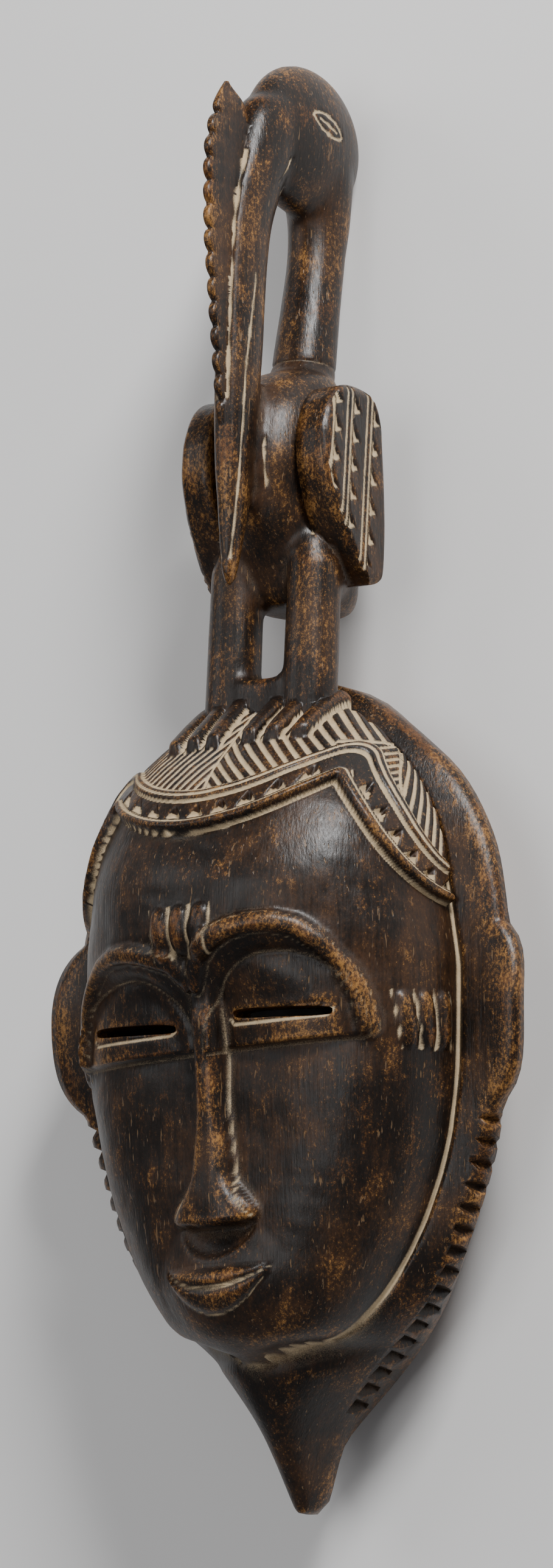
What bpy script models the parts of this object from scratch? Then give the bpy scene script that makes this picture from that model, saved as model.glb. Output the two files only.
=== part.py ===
# Face mask with a hornbill standing on its crown, carved from one block.
# The mask lies on its hollow back: X across, Y along the height, Z up to the front.
import math

import bmesh
import bpy
import numpy as np
from mathutils import Matrix, Vector

for leftover in list(bpy.data.objects):
    bpy.data.objects.remove(leftover, do_unlink=True)

MM = 0.001

# Outline of the flange: height above the beard tip, half width
TIP_HEIGHT = 3.0
APEX_HEIGHT = 277.0
OUTLINE = [(TIP_HEIGHT, 2.6), (5, 4.4), (12, 7.0), (20, 9.4), (32, 14.8), (48, 28.5), (61, 43.0),
           (75, 56.6), (93, 67.0), (117, 76.0), (133, 80.0), (166, 82.5), (192, 82.0),
           (204, 80.0), (216, 77.0), (APEX_HEIGHT - 46, 70.0), (APEX_HEIGHT - 34, 61.5),
           (APEX_HEIGHT - 24, 50.5), (APEX_HEIGHT - 14, 38.0), (APEX_HEIGHT - 6, 25.0),
           (APEX_HEIGHT, 7.0)]
EDGE_LEVEL = [(TIP_HEIGHT, 27.5), (32, 27.6), (48, 30.0), (61, 33.4), (75, 36.3), (93, 39.0),
              (117, 39.5), (136, 42.0), (166, 45.0), (191, 41.0), (APEX_HEIGHT - 47, 37.0),
              (APEX_HEIGHT, 34.0)]
FLANGE_THICKNESS = 5.5
EAR_REACH_RIGHT = 7.4
EAR_REACH_LEFT = 10.2
EAR_LOW = 134.0
EAR_HIGH = 192.0

# Face inside the flange: height, half width, crest level, groove level, squareness
FACE = [(52, 1.0, 60.0, 59.0, 2.0), (55, 9.0, 68.0, 57.0, 2.0), (61, 29.0, 75.0, 53.0, 2.1),
        (68, 37.5, 78.0, 50.5, 2.2), (80, 46.5, 80.0, 47.5, 2.4), (97, 55.5, 80.0, 45.5, 2.7),
        (112, 61.0, 80.2, 44.5, 3.1), (126, 64.5, 80.5, 44.0, 3.4), (146, 67.0, 82.0, 44.0, 3.8),
        (165, 67.5, 85.5, 44.0, 3.6), (178, 67.5, 94.0, 44.0, 2.3), (189, 66.0, 99.5, 44.0, 2.0),
        (203, 63.8, 99.0, 44.0, 2.1), (220, 60.5, 93.5, 43.5, 2.3),
        (APEX_HEIGHT - 42, 53.5, 85.5, 43.0, 2.5), (APEX_HEIGHT - 26, 41.0, 69.5, 42.0, 2.3),
        (APEX_HEIGHT - 12, 22.0, 51.5, 41.0, 2.1), (APEX_HEIGHT - 6, 9.0, 42.0, 40.0, 2.0),
        (APEX_HEIGHT, 1.0, 38.5, 38.0, 2.0)]
CHIN_END = FACE[0][0]
BEARD = [(TIP_HEIGHT, 31.0), (12, 36.5), (25, 45.0), (40, 54.5), (52, 59.5)]
GROOVE_DEPTH = 1.6
GROOVE_HALF = 1.8
SKEW = 0.065

# Hair, hairline band and spine
HAIR_THICKNESS = 2.6
HAIRLINE_LOW = 220.0
CUSP_REACH = 42.5
CUSP_RISE = 13.0
TEMPLE_REACH = 95.0
TEMPLE_DROP = 40.0
BAND_WIDTH = 10.4
LOW_ROLL_HALF = 1.7
TOP_ROLL_HALF = 1.3
ROLL_HEIGHT = 1.8
SPINE_HALF = 4.4
SPINE_HEIGHT = 2.2
FRONT_CHIPS = 9
SIDE_CHIPS = 6
CHIP_WIDTH = 6.0
CHIP_HEIGHT = 4.8
CHIP_DEPTH = 2.0

# Scars, brows, eyes, nose and mouth
SCAR_PITCH = 7.4
SCAR_HALF = 3.2
SCAR_HEIGHT = 2.8
SCAR_CENTRE = 188.5
SCAR_LENGTH = 16.0
TEMPLE_SCAR_REACH = 75.5
TEMPLE_SCAR_CENTRE = 155.5
TEMPLE_SCAR_LENGTH = 18.5
BROW_PATH = [(2.0, 173.0), (6.0, 180.0), (12.0, 184.2), (18.0, 186.6), (25.0, 187.9),
             (32.0, 187.8), (39.5, 185.8), (46.5, 180.6), (52.0, 173.0), (56.0, 164.0),
             (58.0, 154.0)]
BROW_HALF = 3.4
BROW_HEIGHT = 3.6
SOCKET_DEPTH = 2.2
SOCKET_RISE = 33.5
EYE_CENTRE = 31.0
EYE_HALF = 26.5
EYE_LOW = 151.0
EYE_RISE = 27.0
EYE_HEIGHT = 5.8
LEDGE_DEPTH = 2.6
LEDGE_FADE = 20.0
SLIT_CENTRE = 29.0
SLIT_HALF = 17.6
SLIT_LEVEL = 160.4
SLIT_GAP = 3.2
NOSE_TOP = 178.0
NOSE_TIP = 95.0
NOSE_HEIGHT = 7.4
NOSE_HALF = 5.0
NOSE_WING_X = 9.0
NOSE_WING_LEVEL = 101.5
NOSE_WING_HALF = 6.4
NOSE_WING_TALL = 9.5
NOSE_WING_HEIGHT = 4.8
NOSE_BALL_HEIGHT = 8.4
NOSE_BALL_TALL = 16.0
NOSE_BALL_HALF = 9.5
MOUTH_LEVEL = 75.2
MOUTH_HALF = 19.5
MOUTH_CURL = 5.2
LIP_UP = 6.2
LIP_DOWN = 6.8
LIP_HEIGHT = 2.6
MUZZLE_LEVEL = 78.0
MUZZLE_HALF = 25.0
MUZZLE_TALL = 21.0
MUZZLE_HEIGHT = 4.2
LIP_GAP = 1.3

# Hollow back and its flat rim
RIM_HALF = 62.0
RIM_CENTRE = 166.0
RIM_DOWN = 122.0
RIM_MARGIN = 12.0
RIM_UP = APEX_HEIGHT - RIM_MARGIN - RIM_CENTRE
RIM_FLAT = 0.14
COLLAR_SLOPE = 120.0
HOLLOW_DEPTH = 76.0
WALL = 10.0

# Teeth along the lower flange
TEETH = 16
TOOTH_START = 35.0
TOOTH_END = 132.0
TOOTH_DEPTH = 4.8
TOOTH_FLAT = 0.4
TOOTH_BACK = 0.3
TOOTH_HEIGHT = 9.5

# Hornbill: stations are height, level, half width, half depth
BODY = [(300.0, 29.0, 14.0, 17.0), (304.0, 29.5, 17.0, 20.0), (313.0, 31.5, 18.5, 22.0),
        (330.0, 37.0, 20.0, 26.0), (348.0, 41.0, 20.5, 26.0), (362.0, 40.5, 19.5, 23.5),
        (372.0, 38.5, 17.0, 19.5), (378.0, 36.0, 14.0, 15.0), (381.0, 33.0, 9.0, 9.0)]
NECK = [(380.0, 30.0, 11.0, 11.0), (390.0, 28.2, 10.8, 10.8), (407.0, 24.8, 10.2, 10.2),
        (422.0, 21.8, 9.8, 10.2), (436.0, 20.0, 10.4, 11.6), (450.0, 21.0, 11.6, 14.0),
        (460.0, 24.0, 12.0, 16.0)]
HEAD_CENTRE = (462.0, 30.5)
HEAD_HALF = (13.0, 26.0, 30.0)
BEAK = [(475.0, 44.0, 6.0, 8.0), (470.0, 49.0, 9.0, 13.0), (461.0, 52.5, 9.8, 14.0),
        (450.0, 56.0, 9.2, 14.0), (438.0, 61.0, 7.8, 12.6),
        (423.0, 65.0, 6.8, 11.2), (405.0, 67.0, 6.6, 10.6), (385.0, 68.4, 6.6, 10.2),
        (365.0, 70.0, 6.4, 9.4), (343.0, 71.4, 5.6, 8.0), (329.0, 72.0, 4.6, 6.4),
        (315.0, 73.2, 3.4, 4.6), (305.0, 74.0, 2.0, 2.8), (302.0, 74.0, 0.9, 1.2)]
CASQUE = [(472.0, 77.0), (469.0, 79.3), (465.0, 81.8), (460.0, 84.4), (452.0, 87.2),
          (443.0, 88.6), (422.0, 88.4), (403.0, 86.4), (385.0, 84.2), (365.0, 81.4),
          (352.0, 78.0), (345.0, 75.0)]
CASQUE_ROOT = [(472.0, 76.4), (469.0, 74.6), (464.0, 72.0), (455.0, 68.0), (443.0, 67.0),
               (422.0, 68.0), (403.0, 70.0), (385.0, 71.0), (365.0, 72.0), (352.0, 71.0),
               (345.0, 70.0)]
CASQUE_HALF = 2.6
CASQUE_EDGE_HALF = 1.0
CASQUE_SINK = 3.0
SCALLOPS = 13
SCALLOP_TOP = 460.0
SCALLOP_BOTTOM = 364.0
SCALLOP_DEPTH = 3.0
WING_FRONT = [(306.3, 35.5), (307.5, 37.5), (311.0, 42.0), (321.0, 50.0), (333.0, 57.0),
              (347.0, 61.0), (354.0, 60.8), (360.5, 59.0), (366.0, 56.0), (369.6, 52.0),
              (371.8, 47.0), (372.6, 41.0)]
WING_REAR = [(306.3, 34.5), (307.2, 32.0), (310.0, 29.5), (316.0, 27.5), (331.0, 25.0),
             (346.0, 24.2), (359.0, 24.2), (364.5, 25.4), (368.5, 28.0), (371.0, 32.0),
             (372.6, 38.0)]
WING_MIDDLE = 345.0
WING_INNER = 17.5
WING_OUTER = 30.0
WING_SPLAY = 0.05
WING_ROUND = 2.4
WING_ROWS = 16
WING_COLUMNS = 10
CHIP_COLUMNS = 3
CHIP_ROWS = 5
CHIP_COLUMN_STEP = 8.6
CHIP_ROW_STEP = 9.2
CHIP_FIRST_LEVEL = 32.5
CHIP_FIRST_HEIGHT = 359.0
WING_CHIP_WIDTH = 6.0
WING_CHIP_HEIGHT = 6.6
WING_CHIP_DEPTH = 1.6
CHIP_LEAN = 0.10
LEG_X = 15.2
LEG_LEVEL = 50.0
LEG_RADIUS = 9.0
LEG_TOP = 320.0
LEG_FOOT = APEX_HEIGHT - 19.0
WEB_TOP = APEX_HEIGHT - 2.0
WEB_DEPTH = 6.0
TOES = 3
TOE_PITCH = 5.6
TOE_RADIUS = 2.4
TOE_TOP = APEX_HEIGHT - 9.0
TOE_END = APEX_HEIGHT - 28.0
TOE_SINK = 0.6
EYE_RING = (465.0, 33.5)
EYE_RING_HALF = (5.0, 3.6)
EYE_RING_DEPTH = 1.2

# Mesh fineness
FACE_COLUMNS = 108
FACE_ROWS = 156
FACE_SHARE = 0.6
FACE_COLUMN_SHARE = 0.8
RING_SEGMENTS = 18
MASK_KEEP = 0.058


def along(stations, s, column=1):
    """Smooth curve through (position, value) stations without overshoot."""
    s = np.asarray(s, float)
    rows = sorted(stations, key=lambda row: row[0])
    k = np.array([row[0] for row in rows], float)
    f = np.array([row[column] for row in rows], float)
    d = np.diff(f) / np.diff(k)
    m = np.empty_like(f)
    m[0], m[-1] = d[0], d[-1]
    same = d[:-1] * d[1:] > 0
    total = np.where(same, d[:-1] + d[1:], 1.0)
    m[1:-1] = np.where(same, 2 * d[:-1] * d[1:] / total, 0.0)
    i = np.clip(np.searchsorted(k, s) - 1, 0, len(k) - 2)
    h = k[i + 1] - k[i]
    t = np.clip((s - k[i]) / h, 0.0, 1.0)
    return (f[i] * (1 + 2 * t) * (1 - t) ** 2 + h * m[i] * t * (1 - t) ** 2
            + f[i + 1] * t * t * (3 - 2 * t) + h * m[i + 1] * t * t * (t - 1))


def rise(value, low, high):
    t = np.clip((value - low) / (high - low), 0.0, 1.0)
    return t * t * (3 - 2 * t)


def dome(r):
    return np.sqrt(np.clip(1.0 - r * r, 0.0, 1.0))


def half_outline(v, side=1):
    """Half width of the flange at a height, ear lobe included."""
    reach = np.where(np.asarray(side) > 0, EAR_REACH_RIGHT, EAR_REACH_LEFT)
    t = np.clip((2 * v - EAR_LOW - EAR_HIGH) / (EAR_HIGH - EAR_LOW), -1.0, 1.0)
    return along(OUTLINE, v) + reach * (1 - t ** 4) ** 0.9


def face_level(x, v):
    """Face dome without its features."""
    half, crest = along(FACE, v, 1), along(FACE, v, 2)
    groove, power = along(FACE, v, 3), along(FACE, v, 4)
    t = np.clip(np.abs(x) / half, 0.0, 1.0)
    return groove + (crest - groove) * np.sqrt(1.0 - t ** power)


def flange_level(x, v):
    half = np.where(v < CHIN_END, 0.0, along(FACE, v, 1))
    root = np.where(v < CHIN_END, along(BEARD, v), along(FACE, v, 3))
    edge = along(EDGE_LEVEL, v)
    reach = half_outline(v, x)
    t = np.clip((reach - np.abs(x)) / np.maximum(reach - half, 0.5), 0.0, 1.0)
    straight, rounded = t ** 0.9, 1.0 - (1.0 - t) ** 2.4
    beard = rise(-v, -CHIN_END - 6.0, -CHIN_END + 4.0)
    return edge + (root - edge) * (straight + (rounded - straight) * beard)


def front_level(x, v):
    """Face dome inside the groove, flange and beard outside it."""
    half = np.where(v < FACE[0][0], 0.0, along(FACE, v, 1))
    inside = (np.abs(x) < half) & (v > FACE[0][0])
    flange = flange_level(x, v)
    cut = GROOVE_DEPTH * np.clip(1 - np.abs(np.abs(x) - half - 0.6) / GROOVE_HALF, 0, 1)
    flange = flange - np.where(v > FACE[0][0] + 1, cut, 0.0)
    return np.where(inside, np.maximum(face_level(x, v), flange - GROOVE_DEPTH), flange)


def section_columns(v, columns):
    """X and unrolled distance from the middle for evenly spread columns of one section."""
    half, power = float(along(FACE, v, 1)), float(along(FACE, v, 4))
    tall = float(along(FACE, v, 2) - along(FACE, v, 3))
    turn = np.linspace(0.0, math.pi / 2, 241)
    px = half * np.sin(turn) ** (2 / power)
    pw = tall * np.cos(turn)
    run = np.concatenate([[0.0], np.cumsum(np.hypot(np.diff(px), np.diff(pw)))])
    virtual = max(half, FACE_SHARE * float(along(OUTLINE, v)))
    if virtual > half:
        px = np.append(px, virtual)
        run = np.append(run, run[-1] + virtual - half)
    share = np.abs(columns) / FACE_COLUMN_SHARE
    side = np.sign(columns)
    inner = np.interp(np.clip(share, 0, 1) * run[-1], run, px)
    reach = half_outline(v, side)
    out = np.clip((np.abs(columns) - FACE_COLUMN_SHARE) / (1 - FACE_COLUMN_SHARE), 0.0, 1.0)
    x = np.where(share <= 1, inner, virtual + (reach - virtual) * out)
    unrolled = np.where(share <= 1, share * run[-1], run[-1] + (reach - virtual) * out)
    groove = np.interp(half, px, run)
    return x * side, unrolled * side, np.full(np.shape(x), groove)


def hairline(u):
    """Lower edge of the hair band: one middle arc and two side arcs meeting in cusps."""
    a = np.abs(u)
    middle = HAIRLINE_LOW + CUSP_RISE * (a / CUSP_REACH) ** 2
    t = np.clip((a - CUSP_REACH) / (TEMPLE_REACH - CUSP_REACH), 0.0, 1.0)
    side = HAIRLINE_LOW + CUSP_RISE - TEMPLE_DROP * np.sin(t * math.pi / 2)
    return np.where(a < CUSP_REACH, middle, side)


def path_distance(x, v, path):
    best = np.full(np.shape(x), 1e6)
    for (ax, av), (bx, bv) in zip(path[:-1], path[1:]):
        dx, dv = bx - ax, bv - av
        t = np.clip(((x - ax) * dx + (v - av) * dv) / (dx * dx + dv * dv), 0.0, 1.0)
        best = np.minimum(best, np.hypot(x - ax - t * dx, v - av - t * dv))
    return best


def features(x, u, v, groove):
    """Height the carved features add to the face dome, along its normal."""
    v = v - SKEW * x
    a, b = np.abs(x), np.abs(u)
    # Hair cap, its two rolls and the spine
    reach = np.concatenate([np.linspace(0, CUSP_REACH, 14), np.linspace(CUSP_REACH, 110, 18)[1:]])
    line = list(zip(reach, hairline(reach)))
    depth = path_distance(b, v, line) * np.where(v > hairline(u), 1.0, -1.0)
    add = HAIR_THICKNESS * rise(depth, 0.0, 1.2)
    for middle, half in ((LOW_ROLL_HALF, LOW_ROLL_HALF), (BAND_WIDTH - TOP_ROLL_HALF, TOP_ROLL_HALF)):
        add = add + ROLL_HEIGHT * dome((depth - middle) / half)
    spine = dome(a / SPINE_HALF) * rise(depth, BAND_WIDTH - 1.0, BAND_WIDTH + 2.0)
    add = add + SPINE_HEIGHT * spine * rise(-v, -270.0, -264.0)
    # Raised scars on forehead and temples
    for place in (-1, 0, 1):
        r = np.hypot((x - place * SCAR_PITCH) / SCAR_HALF,
                     (v - SCAR_CENTRE) / (SCAR_LENGTH / 2))
        add = add + SCAR_HEIGHT * dome(r)
        middle = TEMPLE_SCAR_REACH + place * SCAR_PITCH
        r = np.hypot((b - middle) / SCAR_HALF,
                     (v - TEMPLE_SCAR_CENTRE) / (TEMPLE_SCAR_LENGTH / 2))
        add = add + SCAR_HEIGHT * dome(r)
    # Brows over sunk sockets
    brow = path_distance(b, v, BROW_PATH)
    add = add + BROW_HEIGHT * dome(brow / BROW_HALF)
    socket = np.hypot((b - EYE_CENTRE) / (EYE_HALF + 1.5), (v - EYE_LOW) / SOCKET_RISE)
    inside = (v > EYE_LOW) & (brow > BROW_HALF)
    add = add - np.where(inside, SOCKET_DEPTH * rise(-socket, -1.0, -0.75), 0.0)
    # Eyes: half domes with a straight lower edge
    across = np.abs((b - EYE_CENTRE) / EYE_HALF)
    lid = (across ** 2.2 + np.abs((v - EYE_LOW) / EYE_RISE) ** 2.2) ** 0.4545
    above = rise(v, EYE_LOW - 0.7, EYE_LOW + 0.7)
    add = add + EYE_HEIGHT * dome(lid) * above
    fall = np.clip((EYE_LOW - v) / LEDGE_FADE, 0.0, 1.0)
    recess = LEDGE_DEPTH * (1 - fall) ** 2 * dome(across * (1 - 0.3 * fall))
    add = add - recess * (1 - above)
    # Nose ridge, ball and wings over the swelling of the mouth
    down = rise(-v, -NOSE_TOP, -160.0)
    half = NOSE_HALF + 2.4 * rise(-v, -136.0, -NOSE_TIP)
    ridge = dome(np.clip(a / half, 0, 1) ** 1.5) * NOSE_HEIGHT * down
    ball = NOSE_BALL_HEIGHT * dome(np.hypot(a / NOSE_BALL_HALF, (v - NOSE_TIP) / NOSE_BALL_TALL))
    wing = NOSE_WING_HEIGHT * dome(np.hypot((a - NOSE_WING_X) / NOSE_WING_HALF,
                                            (v - NOSE_WING_LEVEL) / NOSE_WING_TALL))
    nose = np.maximum(np.maximum(ridge, ball), wing)
    low = NOSE_TIP + 0.02 * a * a
    muzzle = np.hypot(a / MUZZLE_HALF, (v - MUZZLE_LEVEL) / MUZZLE_TALL)
    swell = MUZZLE_HEIGHT * np.cos(np.clip(muzzle, 0, 1) * math.pi / 2) ** 1.4
    add = add + np.maximum(nose - swell * 0.6, 0.0) * rise(v, low - 0.9, low + 0.9) + swell
    # Lips of a small smiling mouth
    share = np.clip(1.0 - (a / MOUTH_HALF) ** 2, 0.0, 1.0)
    line = MOUTH_LEVEL + MOUTH_CURL * (a / MOUTH_HALF) ** 2
    shape = np.abs(v - line) / (np.where(v > line, LIP_UP, LIP_DOWN) * share + 0.3)
    gap = np.clip(1.0 - np.abs(v - line) / (LIP_GAP / 2 + 0.7 * share), 0.0, 1.0)
    add = add + LIP_HEIGHT * dome(shape) ** 0.8 * share ** 0.25
    add = add - 2.0 * gap * (a < MOUTH_HALF + 1.0)
    return add * rise(groove - b, 0.0, 2.0)


def front_points(columns, rows):
    """Grid of front points, carved along the normals of the plain dome."""
    heights = TIP_HEIGHT + (APEX_HEIGHT - TIP_HEIGHT) * (rows + 1) / 2
    made = [section_columns(float(v), columns) for v in heights]
    x, u, groove = (np.array([row[i] for row in made]) for i in range(3))
    v = np.repeat(heights[:, None], len(columns), axis=1)
    middle = 1 - rise(np.abs(columns), FACE_COLUMN_SHARE * 0.65, FACE_COLUMN_SHARE)
    ends = rise(v, 30.0, 70.0) * rise(-v, -APEX_HEIGHT, -225.0)
    v = v + SKEW * x * middle * ends
    w = front_level(x, v)
    points = np.stack([x, v, w], axis=-1)
    across = np.gradient(points, axis=1)
    upward = np.gradient(points, axis=0)
    normal = np.cross(across, upward)
    normal /= np.linalg.norm(normal, axis=-1, keepdims=True)
    inside = (np.abs(u) < groove) & (v > FACE[0][0])
    lift = np.where(inside, features(x, u, v, groove), 0.0)
    return points + normal * lift[..., None], u


def back_points(columns, rows):
    """Grid of back points: flange back, collar, flat rim and hollow."""
    heights = TIP_HEIGHT + (APEX_HEIGHT - TIP_HEIGHT) * (rows + 1) / 2
    x, v = np.meshgrid(columns, heights)
    x = x * half_outline(v, x)
    return np.stack([x, v, back_level(x, v)], axis=-1), x


def back_level(x, v):
    t = np.where(v < RIM_CENTRE, (RIM_CENTRE - v) / RIM_DOWN, (v - RIM_CENTRE) / RIM_UP)
    ratio = ((np.abs(x) / RIM_HALF) ** 1.667 + t ** 1.8) ** 0.58
    flange = along(EDGE_LEVEL, v) - FLANGE_THICKNESS
    collar = np.clip((ratio - 1.0) * COLLAR_SLOPE, 0.0, flange)
    inner = 1.0 - RIM_FLAT
    r = np.clip(ratio / inner, 0.0, 1.0)
    hollow = np.minimum(HOLLOW_DEPTH * np.sqrt(1.0 - r ** 7), face_level(x, v) - WALL)
    return np.where(ratio < inner, np.maximum(hollow, 0.0), collar)


def material(name, colour, roughness):
    made = bpy.data.materials.new(name)
    made.use_nodes = True
    shader = made.node_tree.nodes["Principled BSDF"]
    shader.inputs["Base Color"].default_value = (*colour, 1.0)
    shader.inputs["Roughness"].default_value = roughness
    return made


def place(x, v, w):
    return Vector((x * MM, v * MM, w * MM))


def to_object(name, bm):
    bmesh.ops.recalc_face_normals(bm, faces=bm.faces)
    mesh = bpy.data.meshes.new(name)
    bm.to_mesh(mesh)
    bm.free()
    made = bpy.data.objects.new(name, mesh)
    bpy.context.collection.objects.link(made)
    return made


def apply(target, kind, **settings):
    step = target.modifiers.new(kind.title(), kind)
    for key, value in settings.items():
        setattr(step, key, value)
    bpy.context.view_layer.objects.active = target
    bpy.ops.object.modifier_apply(modifier=step.name)


def combine(target, tool, operation):
    tool.hide_render = True
    tool.display_type = 'WIRE'
    apply(target, 'BOOLEAN', operation=operation, solver='EXACT', object=tool)
    bpy.data.objects.remove(tool, do_unlink=True)


def carved_plate(name):
    """Front and back grids moved to their places and bridged around the flange edge."""
    bm = bmesh.new()
    columns = np.linspace(-1.0, 1.0, FACE_COLUMNS + 1)
    rows = np.linspace(-1.0, 1.0, FACE_ROWS + 1)
    for side, points in enumerate((front_points, back_points)):
        spots = points(columns, rows)[0]
        spots[:, [0, -1], 2] = spots[[0, -1], :, 2] = 0.0
        made = bmesh.ops.create_grid(bm, x_segments=FACE_COLUMNS, y_segments=FACE_ROWS, size=1.0)
        for vert in made["verts"]:
            j = round((vert.co.x + 1) / 2 * FACE_COLUMNS)
            i = round((vert.co.y + 1) / 2 * FACE_ROWS)
            x, v, w = spots[i, j]
            if i in (0, FACE_ROWS) or j in (0, FACE_COLUMNS):
                w = float(along(EDGE_LEVEL, v)) - side * FLANGE_THICKNESS
            vert.co = place(x, v, w)
    border = [edge for edge in bm.edges if edge.is_boundary]
    bmesh.ops.bridge_loops(bm, edges=border)
    bmesh.ops.triangulate(bm, faces=bm.faces)
    return to_object(name, bm)


def tube(name, stations, ring=RING_SEGMENTS, power=2.0):
    """Rounded rings at (height, level, half width, half depth), bridged and capped."""
    bm = bmesh.new()
    edges = []
    for v, w, half, deep in stations:
        made = bmesh.ops.create_circle(bm, cap_ends=False, segments=ring, radius=1.0)
        for vert in made["verts"]:
            angle = math.atan2(vert.co.y, vert.co.x)
            c, s = math.cos(angle), math.sin(angle)
            px = half * math.copysign(abs(c) ** (2 / power), c)
            pw = deep * math.copysign(abs(s) ** (2 / power), s)
            vert.co = place(px, v, w + pw)
        edges.append([edge for edge in bm.edges if edge.verts[0] in made["verts"]])
    for low, high in zip(edges[:-1], edges[1:]):
        bmesh.ops.bridge_loops(bm, edges=low + high)
    bmesh.ops.holes_fill(bm, edges=[edge for edge in bm.edges if edge.is_boundary], sides=0)
    return to_object(name, bm)


def leaf(name, heights, columns, edges, face_x):
    """Closed leaf: two grids between rear and front edges, bridged round the border."""
    bm = bmesh.new()
    count = len(heights) - 1
    for outer in (0, 1):
        made = bmesh.ops.create_grid(bm, x_segments=columns, y_segments=count, size=1.0)
        for vert in made["verts"]:
            s, i = (vert.co.x + 1) / 2, round((vert.co.y + 1) / 2 * count)
            v = float(heights[i])
            rear, front = edges(v)
            border = max(abs(2 * s - 1), abs(2 * i / count - 1))
            vert.co = place(face_x(outer, s, border, v), v, rear + (front - rear) * s)
    bmesh.ops.bridge_loops(bm, edges=[edge for edge in bm.edges if edge.is_boundary])
    return to_object(name, bm)


def scalloped(v):
    """Front edge of the casque: rounded lobes with a sharp cut between each two."""
    run = (SCALLOP_TOP - v) / (SCALLOP_TOP - SCALLOP_BOTTOM) * (SCALLOPS - 1)
    cut = 1.0 - abs(math.sin(math.pi * run)) ** 0.55
    held = rise(v, SCALLOP_BOTTOM - 5, SCALLOP_BOTTOM) * rise(-v, -SCALLOP_TOP - 5, -SCALLOP_TOP)
    return float(along(CASQUE, v)) - SCALLOP_DEPTH * cut * float(held)


def casque_x(outer, s, border, v):
    half = CASQUE_EDGE_HALF + (CASQUE_HALF - CASQUE_EDGE_HALF) * (1 - s) ** 0.8
    return half if outer else -half


def wing_x(side):
    def at(outer, s, border, v):
        if not outer:
            return side * WING_INNER
        worn = WING_ROUND * max(0.0, border - 0.75) ** 2 / 0.0625
        return side * (WING_OUTER - worn + WING_SPLAY * (WING_MIDDLE - v))
    return at


def ellipsoid(name, centre, half, u=22, rings=13):
    bm = bmesh.new()
    bmesh.ops.create_uvsphere(bm, u_segments=u, v_segments=rings, radius=1.0)
    for vert in bm.verts:
        vert.co = place(half[0] * vert.co.x, centre[0] + half[1] * vert.co.z,
                        centre[1] + half[2] * vert.co.y)
    return to_object(name, bm)


def rod(name, start, end, radius, radius_end, segments=10):
    """Tapered round bar between two (x, height, level) points."""
    a, b = place(*start), place(*end)
    bm = bmesh.new()
    bmesh.ops.create_cone(bm, cap_ends=True, segments=segments, radius1=radius * MM,
                          radius2=radius_end * MM, depth=(b - a).length)
    turn = (b - a).to_track_quat('Z', 'Y').to_matrix().to_4x4()
    bmesh.ops.transform(bm, verts=bm.verts, matrix=Matrix.Translation((a + b) / 2) @ turn)
    return to_object(name, bm)


def chip(bm, point, across, up, out, width, height, depth):
    """Three-sided pointed cutter: flat base below, point above, sunk into the wood."""
    made = bmesh.ops.create_cone(bm, cap_ends=True, segments=3, radius1=1.0, radius2=0.12,
                                 depth=1.0)
    frame = Matrix((across, up, out)).transposed().to_4x4()
    for vert in made["verts"]:
        grow = 2.6 if vert.co.z < 0 else 1.0
        angle = math.atan2(vert.co.y, vert.co.x)
        corner = round(angle / (2 * math.pi / 3))
        spot = {0: (0.0, 0.62), 1: (-0.5, -0.38), -1: (0.5, -0.38)}[corner]
        size = 0.22 if grow == 1.0 else 1.5
        local = Vector((spot[0] * width * size, spot[1] * height * size,
                        -depth if grow == 1.0 else depth * 0.5))
        vert.co = point + frame @ (local * MM)


def surface_frame(u, v):
    """Point and outward frame on the face dome at an unrolled distance."""
    spread = np.linspace(0.0, FACE_COLUMN_SHARE, 200)
    x, unrolled, _ = section_columns(v, spread)
    x = math.copysign(float(np.interp(abs(u), unrolled, x)), u)
    step = 0.6
    gx = float(face_level(x + step, v) - face_level(x - step, v)) / (2 * step)
    gv = float(face_level(x, v + step) - face_level(x, v - step)) / (2 * step)
    out = Vector((-gx, -gv, 1.0)).normalized()
    up = (Vector((0, 1, 0)) - out * out.y).normalized()
    return place(x, v, float(face_level(x, v))), up.cross(out), up, out, x


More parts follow.
